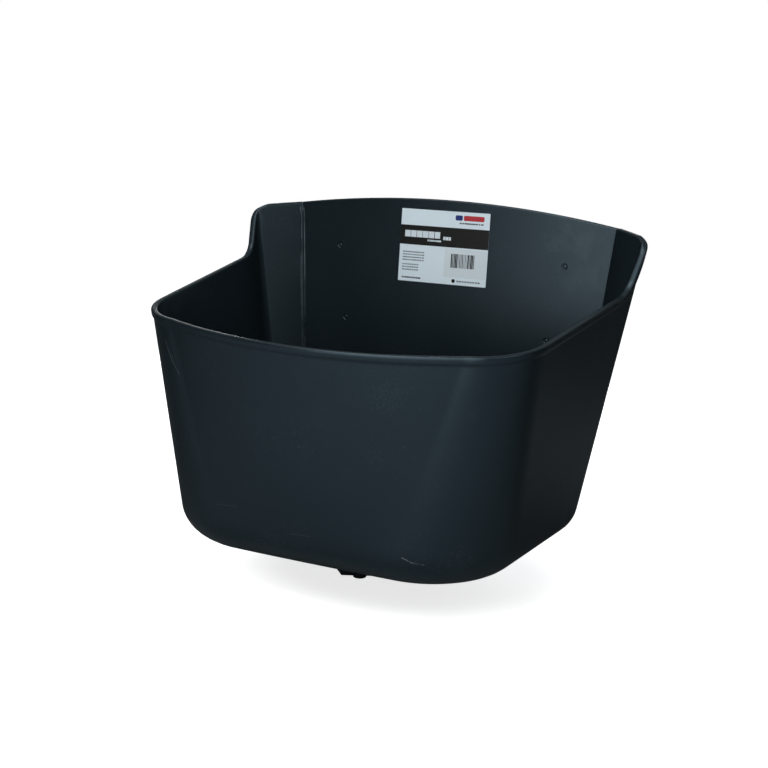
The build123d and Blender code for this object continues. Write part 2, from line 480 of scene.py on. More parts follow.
@dataclass
class MouldedShell:
    """The one-piece moulding: walls, rounded floor, rim bead, crease rib and drill marks."""

    plan: MouldPlan
    bead_width: tuple[float, float] = (2.0, 1.1)
    bead_change: tuple[float, float] = (190.0, 255.0)
    bead_height: float = 5.2
    bead_foot: float = 8.4
    outer_edge_radius: float = 2.3
    inner_edge_radius: float = 1.7
    column_step: float = 2.7
    step_column_step: float = 1.7
    rib_column_step: float = 0.42
    rib_half_width: float = 2.1
    rib_height: float = 1.1
    rib_edge: float = 0.7
    rib_top_gap: float = 5.0
    rib_fade: float = 5.0
    rib_line: float = 0.40
    rib_foot: float = 0.6
    rib_margin: float = 1.0
    rim_wear: float = 0.12
    rim_wear_depth: float = 0.8
    # painted highlight: strength of the pale lines along the crease rib's two edges, stored with the rim's
    # rubbing
    rib_wear: float = 1.4
    band_depth: float = 9.6
    band_rows: tuple[float, float] = (3.6, 6.4)
    edge_rows: tuple[int, int] = (7, 6)
    rim_samples: int = 6000
    step_margin: float = 40.0
    column_blend: float = 8.0
    slope_reach: float = 0.5
    inside_point: tuple[float, float, float] = (0.0, -120.0, 0.0)
    wall_rows: int = 24
    row_crowding: float = 1.25
    rounding_rows: int = 10
    floor_rows: int = 7
    drain_hole_radius: float = 19.6
    screw_radius: float = 3.25
    screw_bevel: float = 0.15
    screw_cut_past: float = 2.0
    hole_steps: int = 40
    sharp_angle: float = 38.0
    screw_rows: tuple[tuple[float, float], ...] = ((120.4, 0.0), (108.4, -71.2))

    def rim_section(self) -> Array:
        """The rim's cross-section, from outside to inside.

        Returns:
            Rows of growth without the bead, the share of the bead's width, and depth below the rim.
        """
        outer = self.plan.plan_wall
        outer_rows, inner_rows = self.edge_rows
        upper_row, lower_row = self.band_rows
        swell = np.linspace(0, 1, outer_rows)
        foot = np.column_stack([
            np.full(outer_rows, outer),
            smooth_step(swell),
            self.bead_foot + (self.bead_height - self.bead_foot) * swell,
        ])
        outer_turn = np.linspace(0, math.pi / 2, outer_rows)
        inner_turn = np.linspace(0, math.pi / 2, inner_rows)
        outside = np.column_stack([
            outer - self.outer_edge_radius * (1 - np.cos(outer_turn)),
            np.ones(outer_rows),
            self.outer_edge_radius * (1 - np.sin(outer_turn)),
        ])
        inside = np.column_stack([
            self.inner_edge_radius * (1 - np.sin(inner_turn)),
            np.zeros(inner_rows),
            self.inner_edge_radius * (1 - np.cos(inner_turn)),
        ])
        return np.vstack([
            [outer, 0, self.band_depth], foot, [outer, 1, upper_row], outside, inside,
            [0, 0, upper_row], [0, 0, lower_row], [0, 0, self.band_depth],
        ])

    def bead_room(self, columns: Array, rim: Array) -> Array:
        """Width of the bead: less at the front, none where it would stand behind the wall face.

        Args:
            columns: distance round the plan of each column.
            rim: the rim's height there.

        Returns:
            The width at each column.
        """
        plan = self.plan
        least = 1e-6
        side, front = self.bead_width
        bare = plan.place(columns, rim, plan.plan_wall)[:, 1]
        width = np.interp(-bare, self.bead_change, (side, front))
        full = plan.place(columns, rim, plan.plan_wall + width)[:, 1]
        share = np.clip(-bare / np.maximum(full - bare, least), 0, 1)
        return width * np.where(full > 0, share, 1.0)

    def rim_line(self) -> tuple[Array, Array]:
        """Place the mesh's columns along the rim, closer together in the step and at the creases.

        Returns:
            Each column's distance round the plan, and the rim's height there.
        """
        plan = self.plan
        along = np.linspace(-plan.half_way, plan.half_way, self.rim_samples + 1)[:-1]
        height = plan.rim_height(along, np.full(len(along), plan.plan_wall / 2))
        spots = plan.place(along, height, plan.plan_wall / 2)
        gaps = np.linalg.norm(np.diff(np.vstack([spots, spots[:1]]), axis=0), axis=1)
        near_crease = np.abs(np.abs(along) - plan.crease_at)
        step_end = plan.breaks[4] + self.step_margin
        in_step = (np.abs(along) > plan.crease_at) & (np.abs(along) < step_end)
        step = np.where(in_step, self.step_column_step, self.column_step)
        rib_zone = self.rib_half_width + self.rib_edge + self.rib_margin
        blend = np.clip((near_crease - rib_zone) / self.column_blend, 0, 1)
        step = self.rib_column_step + (step - self.rib_column_step) * blend
        density = np.concatenate([[0.0], np.cumsum(gaps / step)])
        count = int(round(density[-1] / 2)) * 2
        wanted = np.arange(count) * density[-1] / count
        closed = np.append(along, plan.half_way)
        columns = np.interp(wanted, density, closed)
        return columns, plan.rim_height(columns, np.full(count, plan.plan_wall / 2))

    def fall_line(self, columns: Array, heights: Array) -> tuple[Array, Array]:
        """How distance round the plan and height change for each millimetre square to the rim.

        Args:
            columns: distance round the plan of each column at the rim.
            heights: the rim's height there.

        Returns:
            The change of distance and the change of height, for each column.
        """
        plan = self.plan
        middle = plan.plan_wall / 2
        spots = plan.place(columns, heights, middle)
        tangent = np.roll(spots, -1, 0) - np.roll(spots, 1, 0)
        tangent /= np.linalg.norm(tangent, axis=1)[:, None]
        nudge = self.slope_reach
        ahead, behind = plan.wrapped(columns + nudge), plan.wrapped(columns - nudge)
        by_along = plan.place(ahead, heights, middle) - plan.place(behind, heights, middle)
        by_along /= 2 * nudge
        above = plan.place(columns, heights + nudge, middle)
        under = plan.place(columns, heights - nudge, middle)
        by_height = (above - under) / (2 * nudge)
        outward = np.cross(by_along, by_height)
        outward /= np.linalg.norm(outward, axis=1)[:, None]
        outward *= np.sign((outward * (spots - self.inside_point)).sum(1))[:, None]
        down = np.cross(outward, tangent)
        a11 = (by_along**2).sum(1)
        a12 = (by_along * by_height).sum(1)
        a22 = (by_height**2).sum(1)
        b1 = (by_along * down).sum(1)
        b2 = (by_height * down).sum(1)
        scale = a11 * a22 - a12 * a12
        return (b1 * a22 - b2 * a12) / scale, (b2 * a11 - b1 * a12) / scale

    def rib_rise(self, columns: Array, heights: Array, rim: Array) -> Array:
        """How far the rib on the left crease stands off the inner surface.

        Args:
            columns: each point's distance round the plan.
            heights: each point's height above the level floor.
            rim: the rim's height at each column.

        Returns:
            The rise at each point.
        """
        off = np.abs(columns + self.plan.crease_at)
        across = smooth_step(np.clip((self.rib_half_width - off) / self.rib_edge, 0, 1))
        foot = self.plan.floor_edge_radius * self.rib_foot
        upper = np.clip((rim - self.rib_top_gap - heights) / self.rib_fade, 0, 1)
        lower = np.clip((heights - foot) / self.rib_fade, 0, 1)
        return self.rib_height * across * upper * lower

    def worn_rib(self, columns: Array) -> Array:
        """How much painted highlight the inner wall gets at each column: only along the two edges of the
        crease rib.
        """
        off = np.abs(columns + self.plan.crease_at)
        return self.rib_wear * np.exp(-(((off - self.rib_half_width) / self.rib_line + 1) ** 2))

    def rows(self) -> tuple[list[Array], list[Array]]:
        """All rings of the shell, from the outer drain edge over the rim to the inner drain edge.

        Returns:
            The rings' points, and each ring's share of rubbing on the rim and of painted highlight along
            the crease rib, with 0 where there is neither.
        """
        plan = self.plan
        columns, rim = self.rim_line()
        slide, fall = self.fall_line(columns, rim)
        section = self.rim_section()
        bead = self.bead_room(columns, rim)

        def ring(along: Array, height: Array, growth: Array | float) -> Array:
            """One ring of points, with the rib where the ring lies inside the trough."""
            spot = plan.wrapped(along)
            rise = self.rib_rise(spot, height, rim) if np.max(growth) <= 0 else 0.0
            return plan.place(spot, height, growth - rise)

        def below(depth: float, growth: float, bead_share: float) -> Array:
            """A ring at a depth below the rim, square to it."""
            return ring(columns + slide * depth, rim + fall * depth, growth + bead * bead_share)

        def down_wall(growth: float, foot: float) -> list[Array]:
            """Rings down one side of the wall, from the rim's band to the floor's rounding."""
            shares = (np.arange(1, self.wall_rows + 1) / self.wall_rows) ** self.row_crowding
            band = self.band_depth
            return [
                ring(
                    (columns + slide * band) * (1 - share) + columns * share,
                    (rim + fall * band) * (1 - share) + foot * share,
                    growth,
                )
                for share in shares
            ]

        def round_floor(growth: float, floor: float, radius: float) -> list[Array]:
            """Rings round the rounding between one side of the wall and the floor."""
            turns = np.linspace(math.pi / 2, 0, self.rounding_rows + 1)[1:]
            return [
                ring(columns, np.full(len(columns), floor + radius * (1 - math.cos(t))),
                     growth - radius * (1 - math.sin(t)))
                for t in turns
            ]

        def to_drain(edge: Array, depth: float) -> list[Array]:
            """Rings across the floor, from its edge to the drain hole."""
            centre = plan.on_drain(np.array([[0.0, 0.0, depth]]))[0]
            ray = edge - centre
            hole = centre + ray / np.linalg.norm(ray, axis=1)[:, None] * self.drain_hole_radius
            shares = np.linspace(0, 1, self.floor_rows + 1)[1:]
            return [edge * (1 - share) + hole * share for share in shares]

        outer_foot = plan.floor_edge_radius
        outer = down_wall(plan.plan_wall, outer_foot)
        outer += round_floor(plan.plan_wall, 0.0, outer_foot)
        outer += to_drain(outer[-1], 0.0)
        inner = down_wall(0.0, outer_foot)
        inner += round_floor(0.0, plan.wall, outer_foot - plan.wall)
        inner += to_drain(inner[-1], -plan.wall)
        rings = outer[::-1] + [below(depth, growth, share) for growth, share, depth in section] + inner
        for points in rings:
            points[:, 1] = np.minimum(points[:, 1], 0.0)
        none = np.zeros(len(columns))
        wear = [none] * len(outer)
        rubbed = np.exp(-((section[:, 2] / self.rim_wear_depth) ** 2))
        wear += [none + self.rim_wear * share for share in rubbed]
        # painted highlight: pale lines along the crease rib's edges, kept with the rim's rubbing
        wear += [self.worn_rib(columns)] * self.wall_rows
        wear += [none] * (len(inner) - self.wall_rows)
        return rings, wear

    def build(self) -> Piece:
        """Make the shell's mesh, with its screw holes cut.

        Returns:
            The shell, with its rubbed rim and the painted highlight along its crease rib stored on its
            points.
        """
        rings, wear = self.rows()
        faces = ring_faces(len(rings), len(rings[0]), closed=True)
        shell = mesh_object("moulded_shell", np.vstack(rings), faces)
        # per point: the rim's rubbing and the painted highlight along the crease rib
        wear_and_highlight_store = shell.data.attributes.new("edge_wear", "FLOAT", "POINT")
        wear_and_highlight_store.data.foreach_set("value", np.concatenate(wear).astype(np.float32))
        face_outwards(shell)
        self.cut_screw_holes(shell)
        return shell

    def screw_places(self) -> list[tuple[float, float]]:
        """Places of the screw holes on the back, as x and z in the row frame."""
        return [(side * half, z) for half, z in self.screw_rows for side in (-1, 1)]

    def cut_screw_holes(self, shell: Piece) -> None:
        """Cut the bevelled screw holes through the back.

        Args:
            shell: the shell, whose mesh is changed.
        """
        face = -self.plan.wall
        past = self.screw_cut_past
        profile = [
            (self.screw_radius, past),
            (self.screw_radius, face + self.screw_bevel),
            (self.screw_radius + self.screw_bevel + past, face - past),
        ]
        points, faces = [], []
        for x, z in self.screw_places():
            made, made_faces = revolved(profile, self.hole_steps, capped=True)
            start = len(points)
            points += [(x + across, along, z + up) for across, up, along in made]
            faces += [tuple(start + number for number in one) for one in made_faces]
        cutter = mesh_object("screw_hole_cutter", np.array(points), faces, smooth=False)
        face_outwards(cutter)
        cut = shell.modifiers.new("screw_holes", "BOOLEAN")
        cut.operation = "DIFFERENCE"
        cut.solver = "EXACT"
        cut.object = cutter
        settle(shell)
        bpy.data.objects.remove(cutter)
        crisp_edges(shell, self.sharp_angle)


def revolved(profile: list, steps: int, capped: bool = False, closed: bool = False) -> tuple[list, list]:
    """Turn an outline round the z axis.

    Args:
        profile: pairs of radius and z.
        steps: how many steps make the full turn.
        capped: whether the first and last rings are closed with a face.
        closed: whether the outline's last point joins its first.

    Returns:
        The points and the faces.
    """
    points = []
    for radius, z in profile:
        for step in range(steps):
            turn = 2 * math.pi * step / steps
            points.append((radius * math.cos(turn), radius * math.sin(turn), z))
    rows = len(profile)
    faces = ring_faces(rows, steps, closed)
    if capped:
        faces.append(tuple(range(steps))[::-1])
        faces.append(tuple((rows - 1) * steps + step for step in range(steps)))
    return points, faces


def stepped(radius: float, depth: float, steps: Steps) -> list[tuple[float, float]]:
    """Points of an outline near one of its corners, given as steps from that corner."""
    return [(radius + out, depth + down) for out, down in steps]


def merge_poles(piece: Piece) -> None:
    """Join the points that fall together where an outline meets its axis.

    Args:
        piece: the turned piece, whose mesh is changed.
    """
    touching = 0.001 * MM
    work = bmesh.new()
    work.from_mesh(piece.data)
    bmesh.ops.remove_doubles(work, verts=work.verts, dist=touching)
    work.to_mesh(piece.data)
    work.free()


def face_outwards(piece: Piece) -> None:
    """Point a closed mesh's faces out of its material.

    Args:
        piece: the piece, whose mesh is changed.
    """
    work = bmesh.new()
    work.from_mesh(piece.data)
    bmesh.ops.recalc_face_normals(work, faces=work.faces)
    work.to_mesh(piece.data)
    work.free()


class NodeWork:
    """Adds nodes and sums to one node tree."""

    def __init__(self, tree: Tree) -> None:
        """Work on a tree that exists."""
        self.tree = tree

    def node(self, kind: str, inputs: dict | None = None, **settings: object) -> bpy.types.Node:
        """Add a node.

        Args:
            kind: the node's type.
            inputs: sockets or values for its inputs, by name or number.
            **settings: its properties.

        Returns:
            The new node.
        """
        made = self.tree.nodes.new(kind)
        for key, value in settings.items():
            setattr(made, key, value)
        for key, value in (inputs or {}).items():
            if isinstance(value, Socket):
                self.tree.links.new(value, made.inputs[key])
            else:
                made.inputs[key].default_value = value
        return made

    def maths(self, operation: str, first: object, second: object = 0.0,
              third: object = 0.0, clamp: bool = False) -> Socket:
        """A sum on numbers.

        Args:
            operation: the sum's kind.
            first: a number or a socket.
            second: a number or a socket.
            third: a number or a socket, for the sums that take three.
            clamp: whether the result is kept from 0 to 1.

        Returns:
            The result's socket.
        """
        values = {0: first, 1: second, 2: third}
        made = self.node("ShaderNodeMath", values, operation=operation, use_clamp=clamp)
        return made.outputs[0]

    def vector(self, operation: str, *values: object) -> Socket:
        """A sum on vectors whose result is a vector, as a socket."""
        return self.node("ShaderNodeVectorMath", dict(enumerate(values)), operation=operation).outputs[0]

    def measure(self, operation: str, first: object, second: object) -> Socket:
        """A sum on two vectors whose result is a number, as a socket."""
        made = self.node("ShaderNodeVectorMath", {0: first, 1: second}, operation=operation)
        return made.outputs["Value"]

    def noise(self, place: Socket, scale: object, detail: float,
              roughness: float = 0.5) -> Socket:
        """A noise pattern's value at a place, as a socket."""
        inputs = {"Vector": place, "Scale": scale, "Detail": detail, "Roughness": roughness}
        return self.node("ShaderNodeTexNoise", inputs).outputs["Fac"]

    def ease(self, value: Socket, low: float, high: float) -> Socket:
        """A smooth step from 0 at one value to 1 at another."""
        made = self.node("ShaderNodeMapRange", {"Value": value, "From Min": low, "From Max": high},
                         interpolation_type="SMOOTHSTEP")
        return made.outputs[0]


class TreeMaker(NodeWork):
    """Puts one node group together: its nodes, named inputs and outputs."""

    def __init__(self, name: str, kind: str) -> None:
        """Start an empty tree.

        Args:
            name: the tree's name.
            kind: GeometryNodeTree or ShaderNodeTree.
        """
        super().__init__(bpy.data.node_groups.new(name, kind))
        self.start = self.tree.nodes.new("NodeGroupInput")
        self.end = self.tree.nodes.new("NodeGroupOutput")

    def add_input(self, name: str, socket: str, default: object = None) -> None:
        """Declare a named input.

        Args:
            name: the input's name.
            socket: its socket's type.
            default: its value, if it has one.
        """
        made = self.tree.interface.new_socket(name, in_out="INPUT", socket_type=socket)
        if default is not None:
            made.default_value = default

    def add_output(self, name: str, socket: str, source: Socket) -> None:
        """Declare a named output and feed it."""
        self.tree.interface.new_socket(name, in_out="OUTPUT", socket_type=socket)
        self.tree.links.new(source, self.end.inputs[name])

    def add_floats(self, values: dict[str, float]) -> None:
        """Declare named numbers with their values."""
        for name, value in values.items():
            self.add_input(name, "NodeSocketFloat", value)

    def given(self, name: str) -> Socket:
        """The socket that carries a named input."""
        return self.start.outputs[name]

    def finish_geometry(self, geometry: Socket, material: Material) -> Tree:
        """End a geometry tree with real meshes and a material.

        Args:
            geometry: what the tree has made.
            material: the material that it gets.

        Returns:
            The finished tree.
        """
        real = self.node("GeometryNodeRealizeInstances", {"Geometry": geometry})
        dressed = self.node("GeometryNodeSetMaterial", {"Geometry": real.outputs[0], "Material": material})
        self.add_output("Geometry", "NodeSocketGeometry", dressed.outputs[0])
        return self.tree


def grow_on(piece: Piece, tree: Tree, values: dict) -> None:
    """Run a geometry tree on an object and keep the mesh that it makes.

    Args:
        piece: the object.
        tree: the geometry tree.
        values: values for the tree's inputs, by name.
    """
    run = piece.modifiers.new(tree.name, "NODES")
    run.node_group = tree
    for item in tree.interface.items_tree:
        if item.item_type == "SOCKET" and item.in_out == "INPUT" and item.name in values:
            run[item.identifier] = values[item.name]
    settle(piece)


def grown(name: str, tree: Tree, values: dict) -> Piece:
    """Make an object from a geometry tree that needs no mesh to start from.

    Args:
        name: the piece's name.
        tree: the geometry tree.
        values: values for the tree's inputs, by name.

    Returns:
        The new object.
    """
    piece = mesh_object(name, np.zeros((0, 3)), [])
    grow_on(piece, tree, values)
    piece.data.name = name
    return piece


def ring_tree(material: Material) -> Tree:
    """Geometry tree that repeats a piece round the z axis.

    Args:
        material: the material of the copies.

    Returns:
        The tree, whose inputs are Piece and Count.
    """
    maker = TreeMaker("ring_of_pieces", "GeometryNodeTree")
    maker.add_input("Piece", "NodeSocketObject")
    maker.add_input("Count", "NodeSocketInt", 18)
    points = maker.node("GeometryNodePoints", {"Count": maker.given("Count")})
    number = maker.node("GeometryNodeInputIndex").outputs[0]
    step = maker.maths("DIVIDE", 2 * math.pi, maker.given("Count"))
    angle = maker.node("ShaderNodeCombineXYZ", {"Z": maker.maths("MULTIPLY", number, step)})
    turn = maker.node("FunctionNodeEulerToRotation", {"Euler": angle.outputs[0]})
    source = maker.node("GeometryNodeObjectInfo", {"Object": maker.given("Piece")})
    copies = maker.node("GeometryNodeInstanceOnPoints", {
        "Points": points.outputs[0], "Instance": source.outputs["Geometry"], "Rotation": turn.outputs[0],
    })
    return maker.finish_geometry(copies.outputs[0], material)


def scatter_tree(material: Material) -> Tree:
    """Geometry tree that puts a piece at each point of the mesh it runs on.

    Args:
        material: the material of the copies.

    Returns:
        The tree, whose inputs are Geometry and Piece.
    """
    maker = TreeMaker("pieces_at_points", "GeometryNodeTree")
    maker.add_input("Geometry", "NodeSocketGeometry")
    maker.add_input("Piece", "NodeSocketObject")
    source = maker.node("GeometryNodeObjectInfo", {"Object": maker.given("Piece")})
    copies = maker.node("GeometryNodeInstanceOnPoints", {
        "Points": maker.given("Geometry"), "Instance": source.outputs["Geometry"],
    })
    return maker.finish_geometry(copies.outputs[0], material)


def helix_ridge_tree(material: Material) -> Tree:
    """Geometry tree for a screw thread: a tapered ridge along a helix round z.

    Args:
        material: the thread's material.

    Returns:
        The tree, whose inputs are the thread's sizes.
    """
    points_per_turn, taper_rate, end_size, crest_share = 72, 24.0, 0.1, 0.35
    maker = TreeMaker("helix_ridge", "GeometryNodeTree")
    maker.add_floats({
        "Radius": 0.018, "Pitch": 0.003, "Turns": 7.0,
        "Ridge Width": 0.002, "Ridge Height": 0.001, "Start": 0.0,
    })
    rise = maker.maths("MULTIPLY", maker.given("Pitch"), maker.given("Turns"))
    spiral = maker.node("GeometryNodeCurveSpiral", {
        "Resolution": points_per_turn, "Rotations": maker.given("Turns"),
        "Start Radius": maker.given("Radius"),
        "End Radius": maker.given("Radius"), "Height": rise,
    })
    along = maker.node("GeometryNodeSplineParameter").outputs["Factor"]
    from_end = maker.maths("MINIMUM", along, maker.maths("SUBTRACT", 1.0, along))
    taper = maker.maths("MINIMUM", maker.maths("MULTIPLY", from_end, taper_rate), 1.0)
    size = maker.maths("ADD", maker.maths("MULTIPLY", taper, 1.0 - end_size), end_size)
    half = maker.maths("MULTIPLY", maker.given("Ridge Width"), 0.5)
    crest = maker.maths("MULTIPLY", half, crest_share)
    upright = maker.given("Ridge Height")
    corners = []
    for side, up in ((-1, 0), (-1, 1), (1, 1), (1, 0)):
        across = maker.maths("MULTIPLY", crest if up else half, float(side))
        height = maker.maths("MULTIPLY", upright, float(up))
        corners.append(maker.node("ShaderNodeCombineXYZ", {"X": height, "Y": across}).outputs[0])
    section = maker.node("GeometryNodeCurvePrimitiveQuadrilateral", {
        "Point 1": corners[0], "Point 2": corners[1], "Point 3": corners[2], "Point 4": corners[3],
    }, mode="POINTS")
    upright_line = maker.node("GeometryNodeSetCurveNormal", {"Curve": spiral.outputs[0]}, mode="Z_UP")
    ridge = maker.node("GeometryNodeCurveToMesh", {
        "Curve": upright_line.outputs[0], "Profile Curve": section.outputs[0],
        "Scale": size, "Fill Caps": True,
    })
    lift = maker.node("ShaderNodeCombineXYZ", {"Z": maker.given("Start")})
    moved = maker.node("GeometryNodeTransform", {
        "Geometry": ridge.outputs[0], "Translation": lift.outputs[0],
    })
    return maker.finish_geometry(moved.outputs[0], material)


def dash_tree(name: str, material: Material) -> Tree:
    """Geometry tree for rows of plain dashes, uneven in width, down and right from a corner.

    Args:
        name: the tree's name.
        material: the dashes' material.

    Returns:
        The tree, whose inputs are the rows' sizes, their counts and the seed.
    """
    narrowest, widest = 0.2, 0.95
    maker = TreeMaker(name, "GeometryNodeTree")
    maker.add_floats({
        "Line Length": 0.02, "Dash Height": 0.001, "Row Spacing": 0.002,
        "Fill": 0.8, "Ink Thickness": 0.00003,
    })
    for label, value in (("Rows", 1), ("Dashes", 8), ("Seed", 1)):
        maker.add_input(label, "NodeSocketInt", value)
    pitch = maker.maths("DIVIDE", maker.given("Line Length"), maker.given("Dashes"))
    span = maker.maths("SUBTRACT", maker.given("Line Length"), pitch)
    gaps = maker.maths("SUBTRACT", maker.given("Rows"), 1.0)
    drop = maker.maths("MULTIPLY", gaps, maker.given("Row Spacing"))
    grid = maker.node("GeometryNodeMeshGrid", {
        "Size X": span, "Size Y": drop,
        "Vertices X": maker.given("Dashes"), "Vertices Y": maker.given("Rows"),
    })
    centre_x = maker.maths("MULTIPLY", maker.given("Line Length"), 0.5)
    centre_y = maker.maths("MULTIPLY", maker.maths("ADD", drop, maker.given("Dash Height")), -0.5)
    corner = maker.node("ShaderNodeCombineXYZ", {"X": centre_x, "Y": centre_y})
    placed = maker.node("GeometryNodeTransform", {"Geometry": grid.outputs["Mesh"],
                                                  "Translation": corner.outputs[0]})
    narrow = maker.maths("SUBTRACT", maker.maths("MULTIPLY", maker.given("Fill"), 2.0), widest)
    share = maker.node("FunctionNodeRandomValue", {"Seed": maker.given("Seed")}, data_type="FLOAT")
    maker.tree.links.new(maker.maths("MAXIMUM", narrow, narrowest), share.inputs[2])
    share.inputs[3].default_value = widest
    wide = maker.maths("MULTIPLY", pitch, share.outputs[1])
    size = maker.node("ShaderNodeCombineXYZ", {"X": wide, "Y": maker.given("Dash Height"),
                                               "Z": maker.given("Ink Thickness")})
    cube = maker.node("GeometryNodeMeshCube", {"Size": (1, 1, 1)})
    copies = maker.node("GeometryNodeInstanceOnPoints", {
        "Points": placed.outputs[0], "Instance": cube.outputs["Mesh"], "Scale": size.outputs[0],
    })
    return maker.finish_geometry(copies.outputs[0], material)


@dataclass
class DrainPlace:
    """The drain's axis, square to the floor, from which its pieces are drawn."""

    plan: MouldPlan

    def matrix(self) -> Matrix:
        """Move from the drain's own axis, whose z is the depth below the floor, to the row frame.

        Returns:
            The matrix, in metres.
        """
        return (
            Matrix.Translation((0, 0, -self.plan.origin_height * MM))
            @ Matrix.Rotation(self.plan.angle, 4, "X")
            @ Matrix.Translation((0, self.plan.drain_centre * MM, 0))
            @ Matrix.Rotation(math.pi, 4, "X")
        )


@dataclass
class DrainOutlet:
    """Flanged outlet tube with an outside thread, seen under the floor and in the trough."""

    place: DrainPlace
    outer_radius: float = 19.0
    thread_depth: float = 0.8
    thread_pitch: float = 3.0
    bore_radius: float = 14.0
    length: float = 18.5
    flange_radius: float = 29.0
    flange_face: float = -6.5
    flange_thickness: float = 3.0
    mouth_steps: Steps = ((0.0, 1.6), (0.3, 0.8), (1.2, 0.25), (2.6, 0.05))
    flange_steps: Steps = ((-4.0, 0.0), (-1.6, 0.3), (-0.5, 0.9), (-0.1, 1.7))
    flange_bevel: float = 0.3
    root_bevel: float = 0.4
    end_steps: Steps = ((0.0, -1.2), (-0.8, -0.2), (-1.2, 0.0))
    bore_bevel: float = 0.6
    thread_start: float = 1.2
    thread_end_room: float = 2.5
    ridge_width: float = 1.9
    ridge_sink: float = 0.1
    steps: int = 96

    def tube_profile(self) -> list[tuple[float, float]]:
        """Half section of flange and tube, from the bore's top round to its foot.

        Returns:
            Pairs of radius and depth below the floor.
        """
        core = self.outer_radius - self.thread_depth
        face, edge = self.flange_face, self.flange_radius
        top = face - self.flange_thickness
        inner = self.bore_radius
        return [
            *stepped(inner, top, self.mouth_steps),
            *stepped(edge, top, self.flange_steps),
            (edge, face - self.flange_bevel), (edge - self.flange_bevel, face),
            (core + self.root_bevel, face), (core, face + self.root_bevel),
            *stepped(core, self.length, self.end_steps),
            (inner + self.bore_bevel, self.length), (inner, self.length - self.bore_bevel),
        ]

    def build(self, material: Material) -> None:
        """Make the flange and tube, which stand for the outlet's node.

        Args:
            material: their material.
        """
        points, faces = revolved(self.tube_profile(), self.steps, closed=True)
        tube = mesh_object("outlet_tube", np.array(points), faces)
        tube.data.transform(self.place.matrix())
        face_outwards(tube)
        crisp_edges(tube)
        finish_piece(tube, Body.TROUGH, material)
        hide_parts("outlet_body")

    def build_thread(self, material: Material) -> None:
        """Make the thread, a ridge that follows a helix round the tube.

        Args:
            material: its material.
        """
        turns = math.floor((self.length - self.thread_end_room) / self.thread_pitch)
        thread = grown("outlet_thread", helix_ridge_tree(material), {
            "Radius": (self.outer_radius - self.thread_depth - self.ridge_sink) * MM,
            "Pitch": self.thread_pitch * MM,
            "Turns": float(turns),
            "Ridge Width": self.ridge_width * MM,
            "Ridge Height": (self.thread_depth + self.ridge_sink) * MM,
            "Start": self.thread_start * MM,
        })
        thread.data.transform(self.place.matrix())
        face_outwards(thread)
        finish_piece(thread, Body.TROUGH, material)


